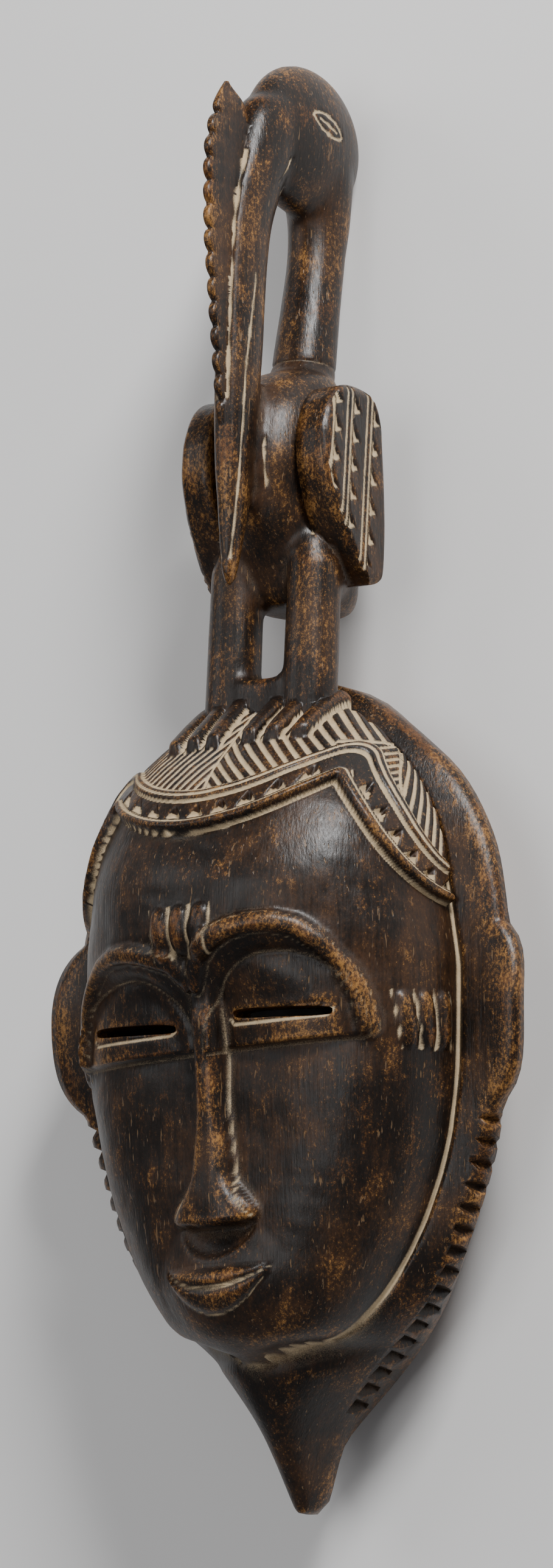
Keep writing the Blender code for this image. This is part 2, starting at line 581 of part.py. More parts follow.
def main():
    wood = material("Carved dark wood", (0.045, 0.03, 0.022), 0.42)

    mask = carved_plate("mask")
    apply(mask, 'DECIMATE', ratio=MASK_KEEP)

    # Hornbill parts
    parts = [tube("body", BODY), tube("neck", NECK)]
    parts.append(ellipsoid("head", HEAD_CENTRE, HEAD_HALF))
    parts.append(tube("beak", BEAK, ring=12))
    lobe = (SCALLOP_TOP - SCALLOP_BOTTOM) / (SCALLOPS - 1)
    marks = [SCALLOP_TOP - lobe * (i + part) for i in range(SCALLOPS - 1)
             for part in (0.0, 0.12, 0.5, 0.88)]
    marks += [SCALLOP_BOTTOM, CASQUE[-1][0] + 0.2, CASQUE[0][0] - 0.2, SCALLOP_TOP + 4]
    parts.append(leaf("casque", sorted(marks), 2,
                      lambda v: (float(along(CASQUE_ROOT, v)) - CASQUE_SINK, scalloped(v)),
                      casque_x))
    low, high = WING_FRONT[0][0], WING_FRONT[-1][0]
    for side in (-1, 1):
        reach = np.linspace(-1, 1, WING_ROWS + 1)
        heights = (low + high + (high - low) * (0.5 * np.sin(reach * math.pi / 2)
                                                + 0.5 * reach)) / 2
        parts.append(leaf("wing", heights, WING_COLUMNS,
                          lambda v: (float(along(WING_REAR, v)), float(along(WING_FRONT, v))),
                          wing_x(side)))
        parts.append(rod("leg", (side * LEG_X, LEG_TOP, LEG_LEVEL - 4),
                         (side * LEG_X, LEG_FOOT, LEG_LEVEL), LEG_RADIUS, LEG_RADIUS + 0.3, 14))
        for toe in range(TOES):
            spread = (toe - (TOES - 1) / 2) * TOE_PITCH
            x0, x1 = side * LEG_X + spread * 0.8, side * LEG_X + spread * 1.2
            w0 = float(face_level(x0, TOE_TOP - 6)) + HAIR_THICKNESS + 1.0
            w1 = float(face_level(x1, TOE_END)) + HAIR_THICKNESS - TOE_SINK
            parts.append(rod("toe", (x0, TOE_TOP - 2, w0 - 1.5), (x1, TOE_END, w1),
                             TOE_RADIUS + 0.4, TOE_RADIUS, 8))
    parts.append(tube("web", [(LEG_FOOT, LEG_LEVEL, LEG_X, WEB_DEPTH), (WEB_TOP, LEG_LEVEL, LEG_X, WEB_DEPTH - 1)], 8))
    for piece in parts:
        combine(mask, piece, 'UNION')

    # Eye slits through to the hollow
    for side in (-1, 1):
        centre = side * SLIT_CENTRE
        level = SLIT_LEVEL + SKEW * centre
        bm = bmesh.new()
        made = bmesh.ops.create_cone(bm, cap_ends=True, segments=16, radius1=1.0, radius2=1.0,
                                     depth=1.0)
        for vert in made["verts"]:
            c, d = (math.copysign(abs(value) ** 0.5, value) for value in vert.co.xy)
            vert.co = place(centre + SLIT_HALF * c, level + SLIT_GAP / 2 * d,
                            75.0 + 90.0 * vert.co.z)
        combine(mask, to_object("slit", bm), 'DIFFERENCE')

    # Chip-carved triangles between the two rolls of the hairline band
    bm = bmesh.new()
    middle = LOW_ROLL_HALF + BAND_WIDTH / 2 - TOP_ROLL_HALF
    spots = [(i - (FRONT_CHIPS - 1) / 2) * (2 * CUSP_REACH - 6) / FRONT_CHIPS
             for i in range(FRONT_CHIPS)]
    for i in range(SIDE_CHIPS):
        u = CUSP_REACH + 4.0 + (TEMPLE_REACH - CUSP_REACH - 2) * (i + 0.5) / SIDE_CHIPS
        spots += [u, -u]
    for u in spots:
        turn = math.atan(float(hairline(u + 0.5) - hairline(u - 0.5)))
        side, v = u - middle * math.sin(turn), float(hairline(u)) + middle * math.cos(turn)
        x = surface_frame(side, v)[4]
        point, across, up, out, x = surface_frame(side, v + SKEW * x)
        lean = Matrix.Rotation(turn, 3, out)
        across, up = lean @ across, lean @ up
        chip(bm, point + out * HAIR_THICKNESS * MM, across, up, out,
             CHIP_WIDTH, CHIP_HEIGHT, CHIP_DEPTH)
    combine(mask, to_object("hair_chips", bm), 'DIFFERENCE')

    # Chip-carved triangles on the outer faces of the wings
    bm = bmesh.new()
    for side in (-1, 1):
        for column in range(CHIP_COLUMNS):
            for row in range(CHIP_ROWS):
                v = CHIP_FIRST_HEIGHT - CHIP_ROW_STEP * row
                w = CHIP_FIRST_LEVEL + CHIP_COLUMN_STEP * column + CHIP_LEAN * (v - WING_MIDDLE)
                if w > along(WING_FRONT, v) - WING_CHIP_WIDTH / 2 - 1.0:
                    continue
                x = side * (WING_OUTER + WING_SPLAY * (WING_MIDDLE - v))
                chip(bm, place(x, v, w), Vector((0, 0, -side)), Vector((0, 1, 0)),
                     Vector((side, 0, 0)), WING_CHIP_WIDTH, WING_CHIP_HEIGHT, WING_CHIP_DEPTH)
    combine(mask, to_object("wing_chips", bm), 'DIFFERENCE')

    # Teeth cut into the lower flange edge
    bm = bmesh.new()
    heights = np.linspace(TOOTH_START, TOOTH_END, 400)
    widths = half_outline(heights)
    run = np.concatenate([[0], np.cumsum(np.hypot(np.diff(heights), np.diff(widths)))])
    width = run[-1] / TEETH - TOOTH_FLAT
    for side in (-1, 1):
        for i in range(TEETH):
            v = float(np.interp(run[-1] * (i + 0.5) / TEETH, run, heights))
            x = float(half_outline(v))
            slope = float(half_outline(v + 1) - half_outline(v - 1)) / 2
            level = float(along(EDGE_LEVEL, v))
            normal = Vector((1.0, -slope, 0)).normalized()
            tangent = Vector((-normal.y, normal.x, 0))
            made = bmesh.ops.create_cone(bm, cap_ends=True, segments=4, radius1=TOOTH_BACK,
                                         radius2=1.0, depth=1.0)
            for vert in made["verts"]:
                spot = normal * (TOOTH_DEPTH * vert.co.x) + tangent * (width * 0.5 * vert.co.y)
                vert.co = place(side * (x + spot.x), v + spot.y,
                                level - FLANGE_THICKNESS / 2 + TOOTH_HEIGHT * vert.co.z)
    combine(mask, to_object("teeth", bm), 'DIFFERENCE')

    # Incised eye ring of the bird
    for side in (-1, 1):
        reach = HEAD_HALF[0]
        made = ellipsoid("eye", EYE_RING, (EYE_RING_DEPTH, EYE_RING_HALF[1], EYE_RING_HALF[0]), 10, 6)
        for vert in made.data.vertices:
            vert.co.x += side * reach * MM
        combine(mask, made, 'DIFFERENCE')

    # Clean mesh, centred over its resting plane
    bm = bmesh.new()
    bm.from_mesh(mask.data)
    bmesh.ops.remove_doubles(bm, verts=bm.verts, dist=0.000002)
    bmesh.ops.dissolve_degenerate(bm, edges=bm.edges, dist=0.000002)
    bmesh.ops.triangulate(bm, faces=bm.faces)
    low = [min(vert.co[i] for vert in bm.verts) for i in range(3)]
    high = [max(vert.co[i] for vert in bm.verts) for i in range(3)]
    shift = Vector((-(low[0] + high[0]) / 2, -(low[1] + high[1]) / 2, -low[2]))
    bmesh.ops.translate(bm, verts=bm.verts, vec=shift)
    bmesh.ops.recalc_face_normals(bm, faces=bm.faces)
    bm.to_mesh(mask.data)
    print("triangles", len(bm.faces), "low", low, "high", high)
    bm.free()
    mask.data.materials.clear()
    mask.data.materials.append(wood)


main()
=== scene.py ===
import math

import bmesh
import bpy
import numpy as np
from mathutils import Matrix, Vector
from mathutils.kdtree import KDTree


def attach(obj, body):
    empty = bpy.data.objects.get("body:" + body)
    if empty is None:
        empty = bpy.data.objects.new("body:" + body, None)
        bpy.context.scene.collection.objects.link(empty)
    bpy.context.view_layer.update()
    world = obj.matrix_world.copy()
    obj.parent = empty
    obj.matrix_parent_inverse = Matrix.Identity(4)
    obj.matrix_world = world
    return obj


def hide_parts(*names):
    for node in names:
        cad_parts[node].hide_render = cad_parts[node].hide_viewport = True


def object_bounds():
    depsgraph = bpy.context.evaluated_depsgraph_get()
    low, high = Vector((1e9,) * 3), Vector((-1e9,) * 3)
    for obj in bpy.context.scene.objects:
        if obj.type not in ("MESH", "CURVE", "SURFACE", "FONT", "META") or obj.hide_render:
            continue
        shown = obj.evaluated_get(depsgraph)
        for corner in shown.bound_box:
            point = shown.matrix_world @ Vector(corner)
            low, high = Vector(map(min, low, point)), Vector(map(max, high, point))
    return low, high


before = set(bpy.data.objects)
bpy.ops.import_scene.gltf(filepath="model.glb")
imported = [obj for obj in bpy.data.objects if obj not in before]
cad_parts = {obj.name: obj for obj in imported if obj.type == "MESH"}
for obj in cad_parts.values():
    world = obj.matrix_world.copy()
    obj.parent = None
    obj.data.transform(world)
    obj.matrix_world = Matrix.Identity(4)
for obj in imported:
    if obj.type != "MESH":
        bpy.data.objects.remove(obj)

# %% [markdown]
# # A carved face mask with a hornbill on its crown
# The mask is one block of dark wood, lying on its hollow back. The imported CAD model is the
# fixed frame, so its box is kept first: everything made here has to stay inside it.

cad_low, cad_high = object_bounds()
MM = 0.001
TIP_HEIGHT, BIRD_TOP = 3.0, 488.0
SHIFT_Y = -(TIP_HEIGHT + BIRD_TOP) / 2
print("CAD box", [round(v, 4) for v in cad_low], [round(v, 4) for v in cad_high])

# %% [markdown]
# The photograph was taken from the mask's left and a little below its middle, with a long lens.
# Here the mask lies down, so the same view looks down on it. The camera's three directions are
# built from the two angles, and the picture's size fixes the lens and the small shift.

# %% Camera
PICTURE_WIDE, PICTURE_HIGH = 909, 2576
TURN, DIP = math.radians(33.0), math.radians(-7.5)
DISTANCE, FOCAL_PIXELS = 1.4, 6936.0
AIM_HEIGHT, AIM_LEVEL = 239.9, 34.0
AIM_PIXEL = (487, 1300)

back = Vector((math.sin(TURN) * math.cos(DIP), math.sin(DIP), math.cos(TURN) * math.cos(DIP)))
right = Vector((math.cos(TURN), 0.0, -math.sin(TURN)))
above = back.cross(right)


def put(x, height, level):
    """Row-frame point, in metres, from millimetres across, up the mask and out of it."""
    return Vector(((x + SHIFT_X) * MM, (height + SHIFT_Y) * MM, level * MM))


# The ears reach out by different amounts, so the box's middle is beside the face's middle.
EAR_EDGE_LEFT = 92.73
SHIFT_X = cad_low.x / MM + EAR_EDGE_LEFT

lens = bpy.data.cameras.new("studio_camera")
camera = bpy.data.objects.new("studio_camera", lens)
bpy.context.collection.objects.link(camera)
lens.sensor_width = 36.0
lens.lens = FOCAL_PIXELS / PICTURE_HIGH * lens.sensor_width
lens.shift_x = (PICTURE_WIDE / 2 - AIM_PIXEL[0]) / PICTURE_HIGH
lens.shift_y = (AIM_PIXEL[1] - PICTURE_HIGH / 2) / PICTURE_HIGH
lens.clip_start, lens.clip_end = 0.01, 50.0
camera.matrix_world = (Matrix.Translation(put(0, AIM_HEIGHT, AIM_LEVEL) + back * DISTANCE)
                       @ Matrix((right, above, back)).transposed().to_4x4())
bpy.context.scene.camera = camera
print("camera at", [round(v, 3) for v in camera.location], "lens", round(lens.lens, 1))

# %% [markdown]
# A carver works from a few measured stations and lets the knife run smoothly between them.
# `along` does the same with numbers: a curve through stations that never overshoots.

# %% Curve helpers
WAVES, WAVE_SPREAD, WAVE_SUM = 5, (0.7, 1.5), 3.0


def along(stations, s, column=1):
    """Column of the stations at the places s, on a smooth curve that never overshoots."""
    s = np.asarray(s, float)
    rows = sorted(stations, key=lambda row: row[0])
    k = np.array([row[0] for row in rows], float)
    f = np.array([row[column] for row in rows], float)
    d = np.diff(f) / np.diff(k)
    m = np.empty_like(f)
    m[0], m[-1] = d[0], d[-1]
    same = d[:-1] * d[1:] > 0
    total = np.where(same, d[:-1] + d[1:], 1.0)
    m[1:-1] = np.where(same, 2 * d[:-1] * d[1:] / total, 0.0)
    i = np.clip(np.searchsorted(k, s) - 1, 0, len(k) - 2)
    h = k[i + 1] - k[i]
    t = np.clip((s - k[i]) / h, 0.0, 1.0)
    return (f[i] * (1 + 2 * t) * (1 - t) ** 2 + h * m[i] * t * (1 - t) ** 2
            + f[i + 1] * t * t * (3 - 2 * t) + h * m[i + 1] * t * t * (t - 1))


def rise(value, low, high):
    """Smoothly from 0 at low to 1 at high."""
    t = np.clip((value - low) / (high - low), 0.0, 1.0)
    return t * t * (3 - 2 * t)


def dome(r):
    """Height of a half circle: 1 in the middle, 0 from one radius away."""
    return np.sqrt(np.clip(1.0 - r * r, 0.0, 1.0))


def groove_cut(distance, half):
    """V-shaped cut: 1 on the line, 0 from half its width away."""
    return np.clip(1.0 - np.abs(distance) / half, 0.0, 1.0)


def path_distance(x, v, path):
    """Distance of each point to the nearest stretch of a path."""
    best = np.full(np.shape(x), 1e6)
    for (ax, av), (bx, bv) in zip(path[:-1], path[1:]):
        dx, dv = bx - ax, bv - av
        t = np.clip(((x - ax) * dx + (v - av) * dv) / (dx * dx + dv * dv), 0.0, 1.0)
        best = np.minimum(best, np.hypot(x - ax - t * dx, v - av - t * dv))
    return best


def ripple(x, y, size, seed):
    """Smooth hand-made unevenness from a few crossed waves, about -1 to 1."""
    rng = np.random.default_rng(seed)
    total = 0.0
    for _ in range(WAVES):
        turn, phase = rng.uniform(0, math.pi), rng.uniform(0, 2 * math.pi)
        scale = size * rng.uniform(*WAVE_SPREAD)
        run = x * math.cos(turn) + y * math.sin(turn)
        total = total + np.sin(run * 2 * math.pi / scale + phase)
    return total / WAVE_SUM


print("along test", round(float(along([(0, 0), (1, 1), (2, 0)], 0.5)), 3))

# %% [markdown]
# ## The mask's plain form
# On the real mask a rounded face rises inside a thin flange, which ends below in a pointed beard
# and has an ear lobe on each side. Every cross-section of the face is one rounded curve, so
# stations up the mask hold its half width, crest, groove level and squareness.

# %% Stations of the flange and the face
APEX_HEIGHT = 277.0
OUTLINE = [(3, 0.9), (3.6, 2.5), (5, 4.2), (12, 7.0), (20, 9.4), (32, 14.8), (48, 28.5), (61, 43.0),
           (75, 56.6), (93, 67.0), (117, 76.0), (133, 80.0), (166, 82.5), (192, 82.0),
           (204, 80.0), (216, 77.0), (231, 70.0), (243, 61.5), (253, 50.5), (263, 38.0),
           (271, 25.0), (277, 7.0)]
EDGE_LEVEL = [(3, 27.5), (32, 27.6), (48, 30.0), (61, 33.4), (75, 36.3), (93, 39.0),
              (117, 39.5), (136, 42.0), (166, 45.0), (191, 41.0), (230, 37.0), (277, 34.0)]
FLANGE_THICKNESS = 5.5
EAR_REACH_RIGHT, EAR_REACH_LEFT = 7.4, 10.2
EAR_LOW, EAR_HIGH = 134.0, 192.0
FACE = [(52, 1.0, 60.0, 59.0, 2.0), (55, 9.0, 68.0, 57.0, 2.0), (61, 29.0, 75.0, 53.0, 2.1),
        (68, 37.5, 78.0, 50.5, 2.2), (80, 46.5, 80.0, 47.5, 2.4), (97, 55.5, 80.0, 45.5, 2.7),
        (112, 61.0, 80.2, 44.5, 3.1), (126, 64.5, 80.5, 44.0, 3.4), (146, 67.0, 82.0, 44.0, 3.8),
        (165, 67.5, 85.5, 44.0, 3.6), (178, 67.5, 94.0, 44.0, 2.3), (189, 66.0, 99.5, 44.0, 2.0),
        (203, 63.8, 99.0, 44.0, 2.1), (220, 60.5, 93.5, 43.5, 2.3), (235, 53.5, 85.5, 43.0, 2.5),
        (251, 41.0, 69.5, 42.0, 2.3), (265, 22.0, 51.5, 41.0, 2.1), (271, 9.0, 42.0, 40.0, 2.0),
        (277, 1.0, 38.5, 38.0, 2.0)]
BEARD = [(3, 31.0), (12, 36.5), (25, 45.0), (40, 54.5), (52, 59.5)]
CHIN_END = FACE[0][0]
GROOVE_DEPTH, GROOVE_HALF, GROOVE_OUT = 1.4, 1.3, 0.5
EAR_FLAT, EAR_SOFT, FLANGE_BOW, BEARD_BOW, BEARD_BLEND = 4, 0.9, 0.9, 2.4, (6.0, 4.0)
SKEW = 0.065


def half_outline(v, side=1):
    """Half width of the flange, with the lobe of the ear on that side."""
    reach = np.where(np.asarray(side) > 0, EAR_REACH_RIGHT, EAR_REACH_LEFT)
    t = np.clip((2 * v - EAR_LOW - EAR_HIGH) / (EAR_HIGH - EAR_LOW), -1.0, 1.0)
    return along(OUTLINE, v) + reach * (1 - t ** EAR_FLAT) ** EAR_SOFT


def face_level(x, v):
    """How far out the rounded face stands."""
    half, crest = along(FACE, v, 1), along(FACE, v, 2)
    groove, power = along(FACE, v, 3), along(FACE, v, 4)
    t = np.clip(np.abs(x) / half, 0.0, 1.0)
    return groove + (crest - groove) * np.sqrt(1.0 - t ** power)


def flange_level(x, v):
    """How far out the thin flange lies, and the rounder beard below the chin."""
    half = np.where(v < CHIN_END, 0.0, along(FACE, v, 1))
    root = np.where(v < CHIN_END, along(BEARD, v), along(FACE, v, 3))
    edge = along(EDGE_LEVEL, v)
    reach = half_outline(v, x)
    t = np.clip((reach - np.abs(x)) / np.maximum(reach - half, 0.5), 0.0, 1.0)
    thin, rounded = t ** FLANGE_BOW, 1.0 - (1.0 - t) ** BEARD_BOW
    beard = rise(-v, -CHIN_END - BEARD_BLEND[0], -CHIN_END + BEARD_BLEND[1])
    return edge + (root - edge) * (thin + (rounded - thin) * beard)


def front_level(x, v):
    """Face and flange together, with the groove cut where they meet."""
    half = np.where(v < CHIN_END, 0.0, along(FACE, v, 1))
    inside = (np.abs(x) < half) & (v > CHIN_END)
    flange = flange_level(x, v)
    cut = GROOVE_DEPTH * groove_cut(np.abs(x) - half - GROOVE_OUT, GROOVE_HALF)
    flange = flange - np.where(v > CHIN_END + 1, cut, 0.0)
    return np.where(inside, np.maximum(face_level(x, v), flange - GROOVE_DEPTH), flange)


print("face", round(2 * float(half_outline(166.0)), 1), "mm across the ears")

# %% [markdown]
# A grid laid flat over the face would stretch badly on its steep sides, and the carving there
# would smear. So each row of the grid is measured round its own cross-section, and the columns
# are spread nearly evenly along that curve. Rows lie closest where the carving is finest. Every
# second row and column is a spare, for the hair, whose strokes need a grid twice as fine.

# %% Columns measured round each cross-section
COLUMNS, FACE_SHARE, FACE_COLUMN_SHARE, EDGE_CROWDING = 172, 0.6, 0.87, 1.7
COLUMN_DRIFT, SECTION_POINTS = 0.035, 241
ROW_STEPS = [(3.05, 0.7), (6.0, 2.3), (56.0, 1.1), (112.0, 1.9), (144.0, 0.95), (200.0, 1.3),
             (214.0, 1.1), (270.0, 1.6)]


def row_heights():
    """Heights of the rows, spaced as ROW_STEPS says from each start."""
    stops = [start for start, _ in ROW_STEPS] + [APEX_HEIGHT]
    runs = []
    for (start, step), end in zip(ROW_STEPS, stops[1:]):
        runs.append(np.linspace(start, end, max(2, round((end - start) / step)), endpoint=False))
    return np.append(np.concatenate(runs), APEX_HEIGHT)


def section_columns(v, columns):
    """Places across, places unrolled along the cross-section, and the groove's unrolled place."""
    half, power = float(along(FACE, v, 1)), float(along(FACE, v, 4))
    tall = float(along(FACE, v, 2) - along(FACE, v, 3))
    turn = np.linspace(0.0, math.pi / 2, SECTION_POINTS)
    px, pw = half * np.sin(turn) ** (2 / power), tall * np.cos(turn)
    run = np.concatenate([[0.0], np.cumsum(np.hypot(np.diff(px), np.diff(pw)))])
    wide = max(half, FACE_SHARE * float(along(OUTLINE, v)))
    if wide > half:
        px, run = np.append(px, wide), np.append(run, run[-1] + wide - half)
    share, side = np.abs(columns) / FACE_COLUMN_SHARE, np.sign(columns)
    share = np.where(share <= 1, share - COLUMN_DRIFT * np.sin(2 * math.pi * share), share)
    reach = half_outline(v, side)
    out = np.clip((np.abs(columns) - FACE_COLUMN_SHARE) / (1 - FACE_COLUMN_SHARE), 0.0, 1.0)
    x = np.where(share <= 1, np.interp(np.clip(share, 0, 1) * run[-1], run, px),
                 wide + (reach - wide) * out ** EDGE_CROWDING)
    unrolled = np.where(share <= 1, share * run[-1], run[-1] + (reach - wide) * out)
    return x * side, unrolled * side, np.full(np.shape(x), np.interp(half, px, run))


rows = row_heights()
ROWS = len(rows) - 1
heights = np.interp(np.arange(2 * ROWS + 1) / 2, np.arange(ROWS + 1), rows)
columns = np.linspace(-1.0, 1.0, 2 * COLUMNS + 1)
print("front grid", COLUMNS, "by", ROWS)

# %% [markdown]
# ## Carving on the face
# The hair is a thin cap whose edge is a band: one hanging arc over the forehead and one down each
# temple, with a rolled border below and above. Over the band the hair is cut in rows of strokes,
# a herringbone in the middle and fans at the sides, and pale clay has settled in the cuts. In the
# band's triangles the clay fills only the lower part, and the apex is left dark as painted shade.

# %% Hair cap, band and strokes
HAIR_THICKNESS = 2.6
HAIRLINE_LOW, CUSP_REACH, CUSP_RISE = 220.0, 42.5, 13.0
TEMPLE_REACH, TEMPLE_DROP = 95.0, 40.0
BAND_WIDTH, LOW_ROLL_HALF, TOP_ROLL_HALF, ROLL_HEIGHT = 13.0, 1.6, 1.8, 1.28
STROKE_PITCH, STROKE_HALF, STROKE_DEPTH = 2.8, 0.84, 1.1
FRONT_CHIP_PITCH, SIDE_CHIP_PITCH, CHIP_HALF, CHIP_DEPTH = 8.6, 9.6, 3.5, 2.3
# Above the last of these depths a band triangle holds no clay: painted shade on its apex.
CHIP_BASE, CHIP_TOP, CHIP_PAINTED_SHADE_START = 3.9, 8.7, 6.2
FAN_TOP, FAN_SPLIT_LOW, FAN_SPLIT_HIGH = 246.5, (64.5, 228.0), (57.0, 246.0)
TOE_PLACES, TOE_DUST = [(7.4, 6.6), (14.9, 14.2), (22.4, 22.4)], 0.12
TOE_TOP, TOE_END, TOE_HALF, TOE_HEIGHT = 268.0, 250.0, 3.3, 3.5
TOE_REACH, TOE_TAPER, TOE_SQUARE = (3.6, 26.5), 0.18, 0.6
BAND_END, SIDE_CHIP_START, CHIP_SLOPE, CUSP_CLEAR = 112, 7.0, 1.5, 3.5
LAST_CHIP_RUN, LAST_CHIP_REACH = 64.0, 98.0
ROLL_LINE_HALF, ROLL_LINE_DEPTH, CUT_CLAY = 0.62, 0.5, 0.8
PLAIT_RIGHT, PLAIT_LEFT = (0.66, 0.75), (0.80, 0.60)
FAN_LEAN, UPRIGHT_LEAN, UPRIGHT_LEVEL, UPRIGHT_SPREAD = 0.24, 0.12, 235.0, 1.35
STROKE_WOBBLE, WOBBLE_SIZE = 0.22, 17.0
FAN_RIM_HALF, PARTING_HALF, PARTING_TOP, HAIR_END, HAIR_FADE = 0.7, 0.75, 262.0, 268.5, 266.0


def hairline(u):
    """Height of the hair's lower edge: an arc over the forehead, a hanging arc at each temple."""
    a = np.abs(u)
    middle = HAIRLINE_LOW + CUSP_RISE * (a / CUSP_REACH) ** 2
    t = np.clip((a - CUSP_REACH) / (TEMPLE_REACH - CUSP_REACH), 0.0, 1.0)
    side = HAIRLINE_LOW + CUSP_RISE - TEMPLE_DROP * np.sin(t * math.pi / 2)
    return np.where(a < CUSP_REACH, middle, side)


def band_depth(u, v):
    """Distance up from the hair's lower edge, negative on the forehead."""
    reach = np.concatenate([np.linspace(0, CUSP_REACH, 20),
                            np.linspace(CUSP_REACH, BAND_END, 26)[1:]])
    line = list(zip(reach, hairline(reach)))
    return path_distance(np.abs(u), v, line) * np.where(v > hairline(u), 1.0, -1.0)


def strokes(across, wobble):
    """Rows of V cuts: how deep each point lies, 1 at the bottom of a cut."""
    phase = (across + wobble) / STROKE_PITCH
    return groove_cut((phase - np.round(phase)) * STROKE_PITCH, STROKE_HALF)


def band_chips(u, v, depth):
    """Pointed triangles cut in the flat of the band, base below and apex above."""
    b = np.abs(u)
    tall = CHIP_TOP - CHIP_BASE
    side = b > CUSP_REACH + 1.0
    along_side = np.hypot(b - CUSP_REACH, hairline(CUSP_REACH) - v)
    run = np.where(side, (along_side - SIDE_CHIP_START) / SIDE_CHIP_PITCH,
                   u / FRONT_CHIP_PITCH + 0.5)
    wide = np.where(side, SIDE_CHIP_PITCH, FRONT_CHIP_PITCH)
    across = np.abs(run - np.floor(run) - 0.5) * wide
    up = (depth - CHIP_BASE) / tall
    inset = np.minimum(up * tall, (1.0 - up) * CHIP_HALF - across)
    cut = np.clip(inset / CHIP_SLOPE, 0.0, 1.0) * (np.abs(b - CUSP_REACH) > CUSP_CLEAR)
    return cut * (along_side < LAST_CHIP_RUN) * (b < LAST_CHIP_REACH)


def hair(u, v, groove):
    """Relief and clay of the hair cap, with painted shade at the apex of each band triangle."""
    b = np.abs(u)
    depth = band_depth(u, v)
    chips = band_chips(u, v, depth)
    lift = HAIR_THICKNESS * rise(depth, -0.2, 0.9)
    clay = CUT_CLAY * groove_cut(depth + 0.2, 0.7) * (b < groove - 1)
    top = BAND_WIDTH - TOP_ROLL_HALF
    for middle, half in ((LOW_ROLL_HALF, LOW_ROLL_HALF), (top, TOP_ROLL_HALF)):
        lift = lift + ROLL_HEIGHT * dome((depth - middle) / half)
        for edge in (middle - half, middle + half) + ((middle,) if middle == top else ()):
            cut = groove_cut(depth - edge, ROLL_LINE_HALF)
            lift, clay = lift - ROLL_LINE_DEPTH * cut, np.maximum(clay, cut * (edge > 0.1))
    wobble = STROKE_WOBBLE * ripple(u, v, WOBBLE_SIZE, 3)
    rows_right = PLAIT_RIGHT[0] * b + PLAIT_RIGHT[1] * v
    rows_left = PLAIT_LEFT[0] * b + PLAIT_LEFT[1] * v
    plait = strokes(np.where(u > 0, rows_right, rows_left), wobble)
    level = strokes(v - FAN_LEAN * b, wobble)
    upright = strokes((b + UPRIGHT_LEAN * (v - UPRIGHT_LEVEL)) / UPRIGHT_SPREAD, wobble)
    (low_u, low_v), (high_u, high_v) = FAN_SPLIT_LOW, FAN_SPLIT_HIGH
    split = low_u + (high_u - low_u) * (v - low_v) / (high_v - low_v)
    in_fan = (v < FAN_TOP) & (b > CUSP_REACH - 5.0)
    field = np.where(in_fan, np.where(b < split, level, upright), plait)
    under_toes = (b > TOE_REACH[0]) & (b < TOE_REACH[1]) & (v > TOE_END)
    field = np.where(under_toes, 0.0, field)
    rim = groove_cut(v - FAN_TOP, FAN_RIM_HALF) * (b > CUSP_REACH - 7.0)
    rim = np.maximum(rim, groove_cut(b - split, FAN_RIM_HALF) * in_fan)
    rim = np.maximum(rim, groove_cut(b, PARTING_HALF) * (v < PARTING_TOP))
    inside = rise(depth, BAND_WIDTH + 0.2, BAND_WIDTH + 1.0) * rise(groove - b, 0.6, 1.6)
    inside = inside * rise(-v, -HAIR_END, -HAIR_FADE)
    cuts = np.maximum(field * (1 - 0.8 * (rim > 0.05)), rim) * inside
    lift = lift - STROKE_DEPTH * cuts - CHIP_DEPTH * chips
    # Clay only in the lower part of each band triangle: the upper part and apex stay dark wood as
    # painted shade, where the cut lies in shadow.
    chip_clay_below_painted_shade = CUT_CLAY * np.clip(chips * 2.5, 0, 1) * (depth < CHIP_PAINTED_SHADE_START)
    return lift, np.maximum(np.maximum(clay, chip_clay_below_painted_shade), cuts ** 0.7)


def toes(u, v):
    """Three ridged toes of each foot lying over the hair."""
    b = np.abs(u)
    t = np.clip((TOE_TOP - v) / (TOE_TOP - TOE_END), 0.0, 1.0)
    lift, gap = np.zeros(np.shape(u)), np.zeros(np.shape(u))
    for start, end in TOE_PLACES:
        middle = start + (end - start) * t
        half = TOE_HALF * (1 - TOE_TAPER * t)
        tip = rise(v, TOE_END - 2.2, TOE_END + 1.0)
        body = dome((b - middle) / half) ** TOE_SQUARE * tip
        body = body * rise(-v, -TOE_TOP - 4.0, -TOE_TOP - 1.0)
        lift = np.maximum(lift, TOE_HEIGHT * body)
        edge = groove_cut(np.abs(b - middle) - half - 0.3, 0.8) * (v > TOE_END - 1.5)
        gap = np.maximum(gap, edge * (v < TOE_TOP))
    return lift, gap * (lift < 0.9)


print("hair reaches from", HAIRLINE_LOW, "to about 270 mm up")

# %% [markdown]
# Below the hair the face has raised scars of three lobes, brows standing over sunk sockets,
# half-moon lids above narrow slits, a long thin nose and a small smiling mouth. Each is a smooth
# swelling or a V cut added along the face's own normal, as a knife works square to the surface.

